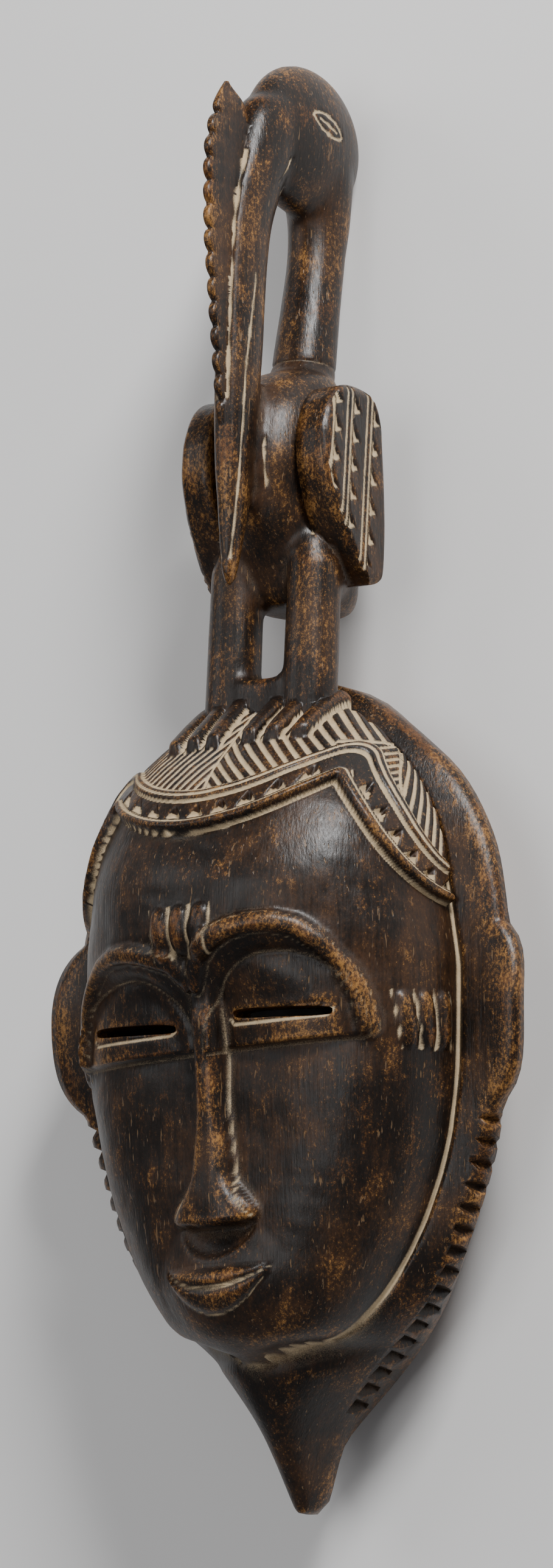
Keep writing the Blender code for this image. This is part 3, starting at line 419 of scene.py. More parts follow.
# %% Face carving
SCAR_PITCH, SCAR_HALF, SCAR_HEIGHT = 7.4, 3.5, 2.2
SCAR_CENTRE, SCAR_LENGTH = 188.5, 16.0
SCAR_FAN, SEAM_HALF, SEAM_OVER, SEAM_VARY, SCAR_CLAY = 0.10, 0.85, 0.6, 1.4, 0.62
TEMPLE_SCAR_REACH, TEMPLE_SCAR_CENTRE, TEMPLE_SCAR_LENGTH = 75.5, 155.5, 18.5
BROW_PATH = [(2, 173), (6, 180), (12, 184.2), (18, 186.6), (25, 187.9), (32, 187.8),
             (39.5, 185.8), (46.5, 180.6), (52, 173), (56, 164), (58, 154)]
BROW_HALF, BROW_HEIGHT, SOCKET_DEPTH, SOCKET_RISE = 3.0, 2.9, 3.2, 33.5
BROW_OUTER, BROW_INNER, BROW_SOFT = 4.4, 2.5, 1.15
EYE_CENTRE, EYE_HALF, EYE_LOW, EYE_RISE, EYE_HEIGHT = 31.0, 26.5, 151.0, 27.0, 5.8
LEDGE_DEPTH, LEDGE_FADE, LID_POWER, LID_ROOT = 2.6, 20.0, 2.2, 0.4545
BROW_CLAY, LID_CLAY, LEDGE_CLAY, SLIT_CLAY = 0.34, 0.32, 0.42, 0.8
EYE_SHIFT, SCAR_SHIFT, LEFT_SQUASH, SQUASH_REACH = 2.8, 2.4, 0.13, (2.0, 18.0)
BROW_SWELL, SWELL_REACH, SWELL_INNER = 0.5, (-10.0, -1.5), (6.0, 15.0)
SLIT_CENTRE, SLIT_HALF, SLIT_LEVEL, SLIT_GAP = 29.0, 17.6, 160.4, 3.2
NOSE_TOP, NOSE_TIP, NOSE_HEIGHT, NOSE_HALF = 178.0, 95.0, 7.4, 5.0
NOSE_FULL, NOSE_WIDEN, NOSE_FLARE, NOSE_BALL_OVER = 160.0, 2.4, 8.6, 1.5
WIDEN_SPAN, FLARE_SPAN, BALL_SPAN, FLARE_POWER = (136.0, 110.0), (114.0, 98.0), (126.0, 100.0), 1.4
NOSE_SHARP, FLARE_BLUNT, NOSE_EDGE_BOW = 1.5, 0.45, 0.008
NOSE_HOLLOW, HOLLOW_WIDE, HOLLOW_TALL = 2.2, 14.0, 9.0
CREASE_DEPTH, CREASE_HALF, CREASE_CLAY, NOSE_CLAY = 0.9, 1.4, 0.6, 0.5
NOSE_CREASE = [(7.6, 113), (8.6, 108), (10.2, 103), (12.8, 99), (15.6, 96.5)]
MOUTH_LEVEL, MOUTH_HALF, MOUTH_CURL = 76.4, 19.5, 5.2
LIP_UP, LIP_DOWN, LIP_HEIGHT, LIP_GAP, GAP_DEPTH = 4.8, 7.6, 2.6, 1.3, 2.0
GAP_CLAY, LIP_CLAY = 0.55, 0.5
MUZZLE_LEVEL, MUZZLE_HALF, MUZZLE_TALL, MUZZLE_HEIGHT = 78.0, 25.0, 21.0, 4.2
FACE_WAVE, FACE_MARKS, TOE_EDGE = 0.16, 0.05, 0.3


def scars(x, b, v):
    """Three lobes on the forehead and three on each temple."""
    lift, seam = np.zeros(np.shape(x)), np.zeros(np.shape(x))
    for place in (-1, 0, 1):
        for across, middle, height, length in (
                (x + SCAR_SHIFT, place * SCAR_PITCH, SCAR_CENTRE, SCAR_LENGTH),
                (b, TEMPLE_SCAR_REACH + place * SCAR_PITCH, TEMPLE_SCAR_CENTRE,
                 TEMPLE_SCAR_LENGTH)):
            fan = (across - middle) - SCAR_FAN * place * (v - height)
            r = (np.abs(fan / SCAR_HALF) ** 2.2 + np.abs((v - height) / (length / 2)) ** 2.8) ** 0.4
            lift = lift + SCAR_HEIGHT * dome(r) ** 0.9
            uneven = ripple(fan * 4.0, height + fan, 26.0, 4)
            reach = length / 2 + SEAM_OVER + SEAM_VARY * uneven
            for edge in (-0.5, 0.5):
                between = groove_cut(fan - edge * SCAR_PITCH, SEAM_HALF)
                seam = np.maximum(seam, between * (np.abs(v - height) < reach))
    return lift, SCAR_CLAY * seam * (lift < 1.5)


def eyes(b, v):
    """Brow ridge, sunk socket, lid and the edge of its slit."""
    brow = path_distance(b, v, BROW_PATH)
    outside = (v > np.interp(b, *np.transpose(BROW_PATH))) | (b > BROW_PATH[-1][0])
    roll = brow / np.where(outside, BROW_OUTER, BROW_INNER)
    lift = BROW_HEIGHT * dome(roll) ** BROW_SOFT
    lift = lift + BROW_SWELL * rise(-brow, *SWELL_REACH) * rise(b, *SWELL_INNER)
    seam = BROW_CLAY * groove_cut(brow - BROW_HALF - 0.3, 1.0) * (v > 150)
    socket = np.hypot((b - EYE_CENTRE) / (EYE_HALF + 1.5), (v - EYE_LOW) / SOCKET_RISE)
    inside = (v > EYE_LOW) & (brow > BROW_HALF)
    lift = lift - np.where(inside, SOCKET_DEPTH * rise(-socket, -1.0, -0.75), 0.0)
    across = np.abs((b - EYE_CENTRE) / EYE_HALF)
    lid = (across ** LID_POWER + np.abs((v - EYE_LOW) / EYE_RISE) ** LID_POWER) ** LID_ROOT
    above = rise(v, EYE_LOW - 0.5, EYE_LOW + 0.5)
    lift = lift + EYE_HEIGHT * dome(lid) * above
    fall = np.clip((EYE_LOW - v) / LEDGE_FADE, 0.0, 1.0)
    recess = LEDGE_DEPTH * (1 - fall) ** 2 * dome(across * (1 - 0.3 * fall))
    lift = lift - recess * (1 - above)
    seam = np.maximum(seam, LID_CLAY * groove_cut(lid - 1.02, 0.05) * (v >= EYE_LOW))
    ledge = groove_cut(v - EYE_LOW + 0.9, 1.1) * (across < 1.0)
    seam = np.maximum(seam, LEDGE_CLAY * ledge)
    slit = np.hypot(np.maximum(np.abs(b - SLIT_CENTRE) - SLIT_HALF + SLIT_GAP / 2, 0.0),
                    v - SLIT_LEVEL) - SLIT_GAP / 2
    lift = lift - 0.5 * groove_cut(slit, 1.3)
    return lift, np.maximum(seam, SLIT_CLAY * groove_cut(slit - 0.5, 1.0) * (v < SLIT_LEVEL))


def growing(v, span):
    """0 at the span's upper height and 1 from its lower height down."""
    return rise(-v, -span[0], -span[1])


def nose_and_mouth(a, v):
    """Long nose that flares at its tip, and a small mouth on a low swelling."""
    down = growing(v, (NOSE_TOP, NOSE_FULL))
    flare = growing(v, FLARE_SPAN) ** FLARE_POWER
    half = NOSE_HALF + NOSE_WIDEN * growing(v, WIDEN_SPAN) + NOSE_FLARE * flare
    tall = NOSE_HEIGHT + NOSE_BALL_OVER * growing(v, BALL_SPAN)
    nose = tall * down * dome(np.clip(a / half, 0, 1) ** (NOSE_SHARP - FLARE_BLUNT * flare))
    crease = path_distance(a, v, NOSE_CREASE)
    nose = nose - CREASE_DEPTH * groove_cut(crease, CREASE_HALF)
    low = NOSE_TIP + NOSE_EDGE_BOW * a * a
    muzzle = np.hypot(a / MUZZLE_HALF, (v - MUZZLE_LEVEL) / MUZZLE_TALL)
    swell = MUZZLE_HEIGHT * np.cos(np.clip(muzzle, 0, 1) * math.pi / 2) ** 1.4
    cover = rise(v, low - 0.7, low + 0.7)
    nose = np.maximum(nose - swell * 0.6, 0.0) * cover + swell
    under = np.hypot(a / HOLLOW_WIDE, (v - low + 1.0) / HOLLOW_TALL)
    nose = nose - NOSE_HOLLOW * dome(under) * (1 - cover)
    seam = NOSE_CLAY * groove_cut(a - half - 0.4, 0.8) * (v > 112) * (v < NOSE_TOP - 14)
    seam = np.maximum(seam, CREASE_CLAY * groove_cut(crease, 0.8) * (v > low))
    share = np.clip(1.0 - (a / MOUTH_HALF) ** 2, 0.0, 1.0)
    line = MOUTH_LEVEL + MOUTH_CURL * (a / MOUTH_HALF) ** 2
    lip = np.where(v > line, LIP_UP, LIP_DOWN) * share + 0.3
    shape = np.abs(v - line) / lip
    lips = LIP_HEIGHT * dome(shape) ** 0.8 * share ** 0.25
    gap = groove_cut(v - line, LIP_GAP / 2 + 0.7 * share) * (a < MOUTH_HALF + 1.0)
    edge = LIP_CLAY * groove_cut(shape - 1.05, 0.14) * (a < MOUTH_HALF - 1.0) * (v < line)
    return nose + lips - GAP_DEPTH * gap, np.maximum(seam, np.maximum(GAP_CLAY * gap, edge))


def carving(x, u, v, groove):
    """Relief along the normal and clay in the cuts, for every point of the front grid."""
    v = v - SKEW * x
    a, b = np.abs(x), np.abs(u)
    lift, clay = hair(u, v, groove)
    toe, gap = toes(x, v)
    lift = np.where(toe > TOE_EDGE, HAIR_THICKNESS + toe, lift)
    clay = np.where(toe > TOE_EDGE, TOE_DUST, np.maximum(clay, gap))
    squash = 1.0 + LEFT_SQUASH * rise(-u, *SQUASH_REACH)
    eye_v = np.where(v > EYE_LOW, EYE_LOW + (v - EYE_LOW) * squash, v)
    eye = eyes(np.abs(u + EYE_SHIFT), eye_v)
    for more, seam in (scars(x, b, v), eye, nose_and_mouth(a, v)):
        lift, clay = lift + more, np.maximum(clay, seam)
    lift = lift + FACE_WAVE * ripple(u, v, 22.0, 5) + FACE_MARKS * ripple(u, v, 7.0, 8)
    fade = rise(groove - b, 0.0, 2.0)
    return lift * fade, clay * fade


print("face carving from", MOUTH_LEVEL - LIP_DOWN, "to", TOE_TOP, "mm up")

# %% [markdown]
# The front grid is moved to the plain form first. Then every point goes out along the normal
# there by the height of the carving, so that the steep sides are carved as crisply as the middle.
# How much clay each point holds is kept with it as an attribute for the finish.

# %% Points of the front
FACE_BORDER = [52, 53.5, 55, 57, 59, 61, 64, 68, 74, 80, 88, 97, 112, 126, 146, 165, 178, 189,
               203, 220, 235, 251, 265, 271]
SKEW_START, SKEW_END, SKEW_MIDDLE = (30.0, 70.0), 225.0, 0.65
EDGE_ROUND, EDGE_DROP, BACK_EDGE_LIFT = 1.6, 1.1, 1.6
BORDER_CLAY, FLANGE_WAVE, FLANGE_DUST, DUST_REACH = 0.9, 0.10, 0.40, 8.0
CHIN_TOP, CHIN_LOW, DUST_TOP, FINE_GRID_TOP = 82.0, 60.0, 100.0, 271.0


def front_points():
    """Points of the carved front, the clay at each, and where the finer hair grid is needed."""
    made = [section_columns(float(v), columns) for v in heights]
    x, u, groove = (np.array([row[i] for row in made]) for i in range(3))
    v = np.repeat(heights[:, None], len(columns), axis=1)
    middle = 1 - rise(np.abs(columns), FACE_COLUMN_SHARE * SKEW_MIDDLE, FACE_COLUMN_SHARE)
    ends = rise(v, *SKEW_START) * rise(-v, -APEX_HEIGHT, -SKEW_END)
    v = v + SKEW * x * middle * ends
    w = front_level(x, v)
    edge = np.clip(1.0 - (half_outline(v, x) - np.abs(x)) / EDGE_ROUND, 0.0, 1.0)
    w = w - EDGE_DROP * (1 - np.sqrt(1 - edge ** 2))
    points = np.stack([x, v, w], axis=-1)
    normal = np.cross(np.gradient(points, axis=1), np.gradient(points, axis=0))
    normal /= np.maximum(np.linalg.norm(normal, axis=-1, keepdims=True), 1e-9)
    inside = (np.abs(u) < groove) & (v > CHIN_END)
    lift, clay = carving(x, u, v, groove)
    lift = np.where(inside, lift, FLANGE_WAVE * ripple(x, v, 20.0, 6) * (edge < 0.01))
    border = path_distance(np.abs(x), v, [(float(along(FACE, h, 1)), h) for h in FACE_BORDER])
    chin = rise(-v, -CHIN_TOP, -CHIN_LOW)
    crease = groove_cut(np.where(inside, groove - np.abs(u), border - 0.2), 0.85 + chin)
    crease = crease * (BORDER_CLAY - 0.4 * chin) * (v > CHIN_END)
    dust = FLANGE_DUST * np.clip(1.0 - border / DUST_REACH, 0, 1) ** 1.5
    dust = dust * rise(-v, -DUST_TOP, -CHIN_LOW) * (~inside)
    clay = np.maximum(np.where(inside, clay, 0.0), np.maximum(crease, dust))
    in_hair = (v > hairline(u) - 0.6) & (np.abs(u) < groove - 0.2) & (v < FINE_GRID_TOP)
    return points + normal * lift[..., None], clay, in_hair


front, front_clay, in_hair = front_points()
print("front reaches", round(float(front[..., 2].max()), 2), "mm out")

# %% [markdown]
# ## The hollow back
# The real mask is hollowed from behind to a wall about a finger thick, with a flat rim where it
# rests. It can't be seen here, so a coarser grid follows the CAD model's hollow.

# %% Points of the back
RIM_HALF, RIM_CENTRE, RIM_DOWN, RIM_UP, RIM_FLAT = 62.0, 166.0, 122.0, 99.0, 0.14
COLLAR_SLOPE, HOLLOW_DEPTH, WALL, HOLLOW_SQUARE = 120.0, 76.0, 10.0, 7
RIM_ACROSS_POWER, RIM_UP_POWER, RIM_ROOT = 1.667, 1.8, 0.58
BACK_COLUMNS, BACK_ROWS = 46, 64


def back_level(x, v):
    """How far out the back lies: hollow inside the rim, sloping collar outside it."""
    t = np.where(v < RIM_CENTRE, (RIM_CENTRE - v) / RIM_DOWN, (v - RIM_CENTRE) / RIM_UP)
    ratio = ((np.abs(x) / RIM_HALF) ** RIM_ACROSS_POWER + t ** RIM_UP_POWER) ** RIM_ROOT
    flange = along(EDGE_LEVEL, v) - FLANGE_THICKNESS
    collar = np.clip((ratio - 1.0) * COLLAR_SLOPE, 0.0, flange)
    inner = 1.0 - RIM_FLAT
    r = np.clip(ratio / inner, 0.0, 1.0)
    hollow = HOLLOW_DEPTH * np.sqrt(1.0 - r ** HOLLOW_SQUARE)
    hollow = np.minimum(hollow, face_level(x, v) - WALL)
    return np.where(ratio < inner, np.maximum(hollow, 0.0), collar)


def back_points():
    x, v = np.meshgrid(np.linspace(-1, 1, BACK_COLUMNS + 1),
                       np.linspace(TIP_HEIGHT, APEX_HEIGHT, BACK_ROWS + 1))
    x = x * half_outline(v, x)
    return np.stack([x, v, back_level(x, v)], axis=-1)


back_side = back_points()
print("hollow goes", round(float(back_side[..., 2].max()), 1), "mm in")

# %% [markdown]
# Two flat grids become the front and the back: each vertex is sent to its worked-out place. The
# edge of the front is dropped a little for a worn, rounded rim, and bridging the two borders
# closes the mask.

# %% Mask body
def to_object(name, bm, smooth=True):
    """Object made from a bmesh, with its faces turned outwards."""
    bmesh.ops.recalc_face_normals(bm, faces=bm.faces)
    for face in bm.faces:
        face.smooth = smooth
    mesh = bpy.data.meshes.new(name)
    bm.to_mesh(mesh)
    bm.free()
    obj = bpy.data.objects.new(name, mesh)
    bpy.context.collection.objects.link(obj)
    return obj


def carved_plate(name):
    """Front and back grids bridged round their border, with the clay kept at each vertex."""
    bm = bmesh.new()
    clay = bm.verts.layers.float.new("clay")
    for side, spots, across, upward in ((0, front, COLUMNS, ROWS),
                                        (1, back_side, BACK_COLUMNS, BACK_ROWS)):
        last_i, last_j = len(spots) - 1, len(spots[0]) - 1

        def cell(vert):
            return round((vert.co.y + 1) / 2 * last_i), round((vert.co.x + 1) / 2 * last_j)

        fresh = bmesh.ops.create_grid(bm, x_segments=across, y_segments=upward, size=1.0)["verts"]
        if not side:
            hairy = [edge for edge in bm.edges if all(in_hair[cell(vert)] for vert in edge.verts)]
            bmesh.ops.subdivide_edges(bm, edges=hairy, cuts=1, use_grid_fill=True)
            fresh = list(bm.verts)
        for vert in fresh:
            i, j = cell(vert)
            x, v, w = spots[i, j]
            if i in (0, last_i) or j in (0, last_j):
                w = float(along(EDGE_LEVEL, v)) - EDGE_DROP
                w = w - side * (FLANGE_THICKNESS - BACK_EDGE_LIFT)
            vert.co = put(x, v, w)
            vert[clay] = 0.0 if side else float(front_clay[i, j])
    border = [edge for edge in bm.edges if edge.is_boundary]
    bmesh.ops.bridge_loops(bm, edges=border)
    bmesh.ops.triangulate(bm, faces=[f for f in bm.faces if len(f.verts) > 4])
    return to_object(name, bm)


mask = carved_plate("mask_carving")
print("mask body", len(mask.data.polygons), "faces")

# %% [markdown]
# Small teeth are cut along the lower edge of the flange, and the slits of the eyes go through to
# the hollow. Both are made as cutters in one mesh, so that a single cut takes them all away. The
# slits are shifted to the side with the eyes.

# %% Teeth and eye slits
TEETH, TOOTH_START, TOOTH_END = 16, 35.0, 132.0
TOOTH_DEPTH, TOOTH_FLAT, TOOTH_HEIGHT, TOOTH_BACK = 4.8, 0.4, 9.5, 0.3
SLIT_SHIFT_SHARE, SLIT_CUT_LEVEL, SLIT_CUT_LENGTH = 0.85, 75.0, 90.0


def bar(bm, segments, middle, across, up, out, back_size=1.0, power=2.0):
    """Straight cutter: a rod squashed to two half sizes, smaller behind if asked."""
    made = bmesh.ops.create_cone(bm, cap_ends=True, segments=segments, radius1=back_size,
                                 radius2=1.0, depth=1.0)
    for vert in made["verts"]:
        c, d = vert.co.x, vert.co.y
        c, d = (math.copysign(abs(value) ** (2 / power), value) for value in (c, d))
        vert.co = middle + across * c + up * d + out * vert.co.z


def cutters():
    """All the teeth's gaps and both eye slits, as separate rods in one mesh."""
    bm = bmesh.new()
    reach = np.linspace(TOOTH_START, TOOTH_END, 400)
    run = np.concatenate([[0], np.cumsum(np.hypot(np.diff(reach), np.diff(half_outline(reach))))])
    width = run[-1] / TEETH - TOOTH_FLAT
    for side in (-1, 1):
        for i in range(TEETH):
            v = float(np.interp(run[-1] * (i + 0.5) / TEETH, run, reach))
            slope = float(half_outline(v + 1) - half_outline(v - 1)) / 2
            normal = Vector((side, -slope, 0)).normalized() * MM
            tangent = Vector((-normal.y, normal.x, 0))
            middle = put(side * float(half_outline(v)), v,
                         float(along(EDGE_LEVEL, v)) - FLANGE_THICKNESS / 2)
            bar(bm, 4, middle, normal * TOOTH_DEPTH, tangent * width / 2,
                Vector((0, 0, TOOTH_HEIGHT * MM)), TOOTH_BACK)
        centre = side * SLIT_CENTRE - EYE_SHIFT * SLIT_SHIFT_SHARE
        bar(bm, 36, put(centre, SLIT_LEVEL + SKEW * centre, SLIT_CUT_LEVEL),
            Vector((SLIT_HALF * MM, 0, 0)), Vector((0, SLIT_GAP / 2 * MM, 0)),
            Vector((0, 0, SLIT_CUT_LENGTH * MM)), power=4.0)
    return to_object("cutters", bm, smooth=False)


def combine(target, tool, operation):
    """Joins the tool to the target or cuts it away, and deletes the tool."""
    change = target.modifiers.new("change", 'BOOLEAN')
    change.operation, change.solver, change.object = operation, 'MANIFOLD', tool
    apply_changes(target)
    bpy.data.objects.remove(tool, do_unlink=True)


def apply_changes(obj):
    """Makes the result of the object's modifiers its own mesh."""
    graph = bpy.context.evaluated_depsgraph_get()
    made = bpy.data.meshes.new_from_object(obj.evaluated_get(graph), depsgraph=graph)
    obj.modifiers.clear()
    old, obj.data = obj.data, made
    bpy.data.meshes.remove(old)


combine(mask, cutters(), 'DIFFERENCE')
print("mask with teeth", len(mask.data.polygons), "faces", list(mask.data.attributes.keys())[:8])

# %% [markdown]
# ## The hornbill
# The bird stands on the crown with its long beak laid down its breast. Its body, neck, head, beak
# and legs are rounded rings at measured stations, bridged into closed forms and then joined, as a
# carver roughs out round masses before refining where they meet.

# %% Bird's body, neck and beak
BODY = [(300, 29, 14, 17), (304, 29.5, 17, 20), (313, 31.5, 18.5, 22), (330, 37, 20, 26),
        (348, 41, 20.5, 26), (362, 40.5, 19.5, 23.5), (372, 38.5, 17, 19.5), (378, 36, 14, 15),
        (381, 33, 9, 9)]
NECK = [(380, 30, 11, 11), (390, 28.2, 10.8, 10.8), (407, 24.8, 10.2, 10.2),
        (422, 21.8, 9.8, 10.2), (436, 20, 10.4, 11.6), (450, 21, 11.6, 14), (460, 24, 12, 16)]
HEAD_CENTRE, HEAD_HALF = (462.0, 30.5), (13.0, 26.0, 30.0)
BEAK = [(475, 44, 6, 8), (470, 49, 9, 13), (461, 52.5, 9.8, 14), (450, 56, 9.2, 14),
        (438, 61, 7.8, 12.6), (423, 65, 6.8, 11.2), (405, 67, 6.6, 10.6), (385, 68.4, 6.6, 10.2),
        (365, 70, 6.4, 9.4), (343, 71.4, 5.6, 8), (329, 72, 4.6, 6.4), (315, 73.2, 3.4, 4.6),
        (305, 74, 2, 2.8), (302, 74, 0.9, 1.2)]
RING, RING_STEP, BALL_RINGS, LEG_RING = 48, 2.5, 28, 32


def finer(stations):
    """Stations every few millimetres along the same smooth curve."""
    ends = stations[0][0], stations[-1][0]
    places = np.linspace(*ends, max(2, round(abs(ends[1] - ends[0]) / RING_STEP)) + 1)
    return [(v, *(float(along(stations, v, i)) for i in (1, 2, 3))) for v in places]


def tube(name, stations, ring=RING):
    """Rounded rings at (height, level, half width, half depth), bridged and capped."""
    bm = bmesh.new()
    edges = []
    for v, w, half, deep in stations:
        made = bmesh.ops.create_circle(bm, cap_ends=False, segments=ring, radius=1.0)
        for vert in made["verts"]:
            vert.co = put(half * vert.co.x, v, w + deep * vert.co.y)
        edges.append([edge for edge in bm.edges if edge.verts[0] in made["verts"]])
    for low, high in zip(edges[:-1], edges[1:]):
        bmesh.ops.bridge_loops(bm, edges=low + high)
    bmesh.ops.holes_fill(bm, edges=[edge for edge in bm.edges if edge.is_boundary], sides=0)
    return to_object(name, bm)


def ellipsoid(name, centre, half):
    """Ball stretched to three half sizes about (height, level)."""
    bm = bmesh.new()
    bmesh.ops.create_uvsphere(bm, u_segments=RING, v_segments=BALL_RINGS, radius=1.0)
    for vert in bm.verts:
        vert.co = put(half[0] * vert.co.x, centre[0] + half[1] * vert.co.z,
                      centre[1] + half[2] * vert.co.y)
    return to_object(name, bm)


def rod(name, start, end, radius, radius_end):
    """Round rod between two points, with a radius for each end."""
    a, b = put(*start), put(*end)
    bm = bmesh.new()
    bmesh.ops.create_cone(bm, cap_ends=True, segments=LEG_RING, radius1=radius * MM,
                          radius2=radius_end * MM, depth=(b - a).length)
    turn = (b - a).to_track_quat('Z', 'Y').to_matrix().to_4x4()
    bmesh.ops.transform(bm, verts=bm.verts, matrix=Matrix.Translation((a + b) / 2) @ turn)
    return to_object(name, bm)


LEG_X, LEG_LEVEL, LEG_RADIUS, LEG_TOP, LEG_FOOT, WEB_TOP = 15.2, 50.0, 9.0, 314.0, 258.0, 275.0
THIGH_X, THIGH_CENTRE, THIGH_HALF = 14.4, (314.0, 41.5), (9.6, 15.0, 13.2)
bird = tube("bird", finer(BODY))
rounds = [tube("neck", finer(NECK)), ellipsoid("head", HEAD_CENTRE, HEAD_HALF),
          tube("beak", finer(BEAK)),
          tube("web", [(LEG_FOOT, LEG_LEVEL, LEG_X, 8.0), (WEB_TOP, LEG_LEVEL, LEG_X, 7.4)], 24)]
for side in (-1, 1):
    thigh = ellipsoid("thigh", THIGH_CENTRE, THIGH_HALF)
    thigh.data.transform(Matrix.Translation((side * THIGH_X * MM, 0, 0)))
    rounds.append(thigh)
    rounds.append(rod("leg", (side * LEG_X, LEG_TOP, LEG_LEVEL - 4),
                      (side * LEG_X, LEG_FOOT, LEG_LEVEL), LEG_RADIUS, LEG_RADIUS + 0.3))
for piece in rounds:
    combine(bird, piece, 'UNION')
print("bird's rounds", len(bird.data.polygons), "faces")

# %% [markdown]
# The casque is a thin pointed blade along the top of the beak, scalloped down its front edge. It
# and the wings are leaves: a front and a rear edge at each height, with a grid between them on
# each side. The grids are fine enough to be carved by sums, as the face is.

# %% Casque
CASQUE = [(472, 77), (469, 79.3), (465, 81.8), (460, 84.4), (452, 87.2), (443, 88.6),
          (422, 88.4), (403, 86.4), (385, 84.2), (365, 81.4), (352, 78), (345, 75)]
CASQUE_ROOT = [(472, 76.4), (469, 74.6), (464, 72), (455, 68), (443, 67), (422, 68), (403, 70),
               (385, 71), (365, 72), (352, 71), (345, 70)]
CASQUE_HALF, CASQUE_EDGE_HALF, CASQUE_SINK = 2.6, 1.0, 3.0
CASQUE_TIP, TIP_FULL, SINK_FULL, TIP_SHARE = 472.0, 464.0, 466.0, 0.3
CASQUE_SPAN, CASQUE_ROWS = (345.2, 471.8), 150
SCALLOPS, SCALLOP_TOP, SCALLOP_BOTTOM, SCALLOP_DEPTH = 13, 460.0, 364.0, 3.0
SCALLOP_FADE, SCALLOP_ROUND = 5, 0.55


def scalloped(v):
    """Front edge of the casque: rounded lobes with a sharp cut between each two."""
    run = (SCALLOP_TOP - v) / (SCALLOP_TOP - SCALLOP_BOTTOM) * (SCALLOPS - 1)
    cut = 1.0 - abs(math.sin(math.pi * run)) ** SCALLOP_ROUND
    below = rise(v, SCALLOP_BOTTOM - SCALLOP_FADE, SCALLOP_BOTTOM)
    held = float(below * rise(-v, -SCALLOP_TOP - SCALLOP_FADE, -SCALLOP_TOP))
    return float(along(CASQUE, v)) - SCALLOP_DEPTH * cut * held


def leaf(name, rows, across, edges, face_x, clay_at):
    """Closed leaf: two grids between the rear and front edges, bridged round the border."""
    bm = bmesh.new()
    clay = bm.verts.layers.float.new("clay")
    for outer, segments in ((0, across[0]), (1, across[1])):
        places = rows[outer]
        count = len(places) - 1
        made = bmesh.ops.create_grid(bm, x_segments=segments, y_segments=count, size=1.0)
        for vert in made["verts"]:
            s, i = (vert.co.x + 1) / 2, round((vert.co.y + 1) / 2 * count)
            v = float(places[i])
            rear, front_edge = edges(v)
            w = rear + (front_edge - rear) * s
            border = max(abs(2 * s - 1), abs(2 * i / count - 1))
            vert.co = put(face_x(outer, s, border, v, w), v, w)
            vert[clay] = clay_at(outer, v, w, border)
    border = [edge for edge in bm.edges if edge.is_boundary]
    strip = bmesh.ops.bridge_loops(bm, edges=border)["faces"]
    cross = {edge for face in strip for edge in face.edges} - set(border)
    bmesh.ops.subdivide_edges(bm, edges=list(cross), cuts=2, use_grid_fill=True)
    bmesh.ops.triangulate(bm, faces=[face for face in bm.faces if len(face.verts) > 4])
    return to_object(name, bm)


def casque_x(outer, s, border, v, w):
    """Side of the blade: thin at its front edge and towards its tip."""
    half = CASQUE_EDGE_HALF + (CASQUE_HALF - CASQUE_EDGE_HALF) * (1 - s) ** 0.8
    full = float(rise(-v, -CASQUE_TIP, -TIP_FULL))
    return (1 if outer else -1) * half * (TIP_SHARE + (1 - TIP_SHARE) * full)


def casque_edges(v):
    """Rear edge, sunk into the beak, and scalloped front edge."""
    sunk = CASQUE_SINK * rise(-v, -CASQUE_TIP, -SINK_FULL)
    return float(along(CASQUE_ROOT, v) - sunk), scalloped(v)


casque_rows = np.linspace(*CASQUE_SPAN, CASQUE_ROWS)
casque = leaf("casque", (casque_rows, casque_rows), (8, 8), casque_edges, casque_x,
              lambda outer, v, w, border: 0.0)
print("casque", len(casque.data.polygons), "faces")

# %% [markdown]
# ## Wings
# Each wing stands a little off the breast, about a finger thick. Its outer face carries leaning
# lines, most of them in pairs, and columns of small triangles with clay in them, the sloping facet
# of each kept darker as painted shade, and its edges are rubbed round.

# %% Wings
WING_FRONT = [(306.3, 35.5), (307.5, 37.5), (311, 42), (321, 50), (333, 57), (347, 61),
              (354, 60.8), (360.5, 59), (366, 56), (369.6, 52), (371.8, 47), (372.6, 41)]
WING_REAR = [(306.3, 34.5), (307.2, 32), (310, 29.5), (316, 27.5), (331, 25), (346, 24.2),
             (359, 24.2), (364.5, 25.4), (368.5, 28), (371, 32), (372.6, 38)]
WING_INNER, WING_OUTER, WING_SPLAY, WING_MIDDLE, WING_ROUND = 17.5, 30.0, 0.05, 345.0, 2.4
WING_COLUMNS, WING_ROWS = 58, 76
NOTCH_PLACES = [(51.3, 343.5, 9.9), (40.2, 341.7, 9.9), (28.0, 338.7, 10.3)]
NOTCH_WIDE, NOTCH_TALL, NOTCH_TILT = 6.3, 7.8, 0.25
NOTCH_EDGE, NOTCH_SPAN, NOTCH_CLAY, NOTCH_SHADE, NOTCH_SIDE = 6.0, (312, 369), 0.9, 0.25, 1.7
LINE_PLACES, LINE_HALF, LINE_LEAN = [58.2, 50.2, 47.4, 38.0, 35.2], 0.9, 0.17
LINE_SHARE, CARVED_BORDER, WING_CUT_DEPTH = 0.95, 0.93, 1.1
WORN_BORDER, WORN_SPREAD = 0.80, 0.04


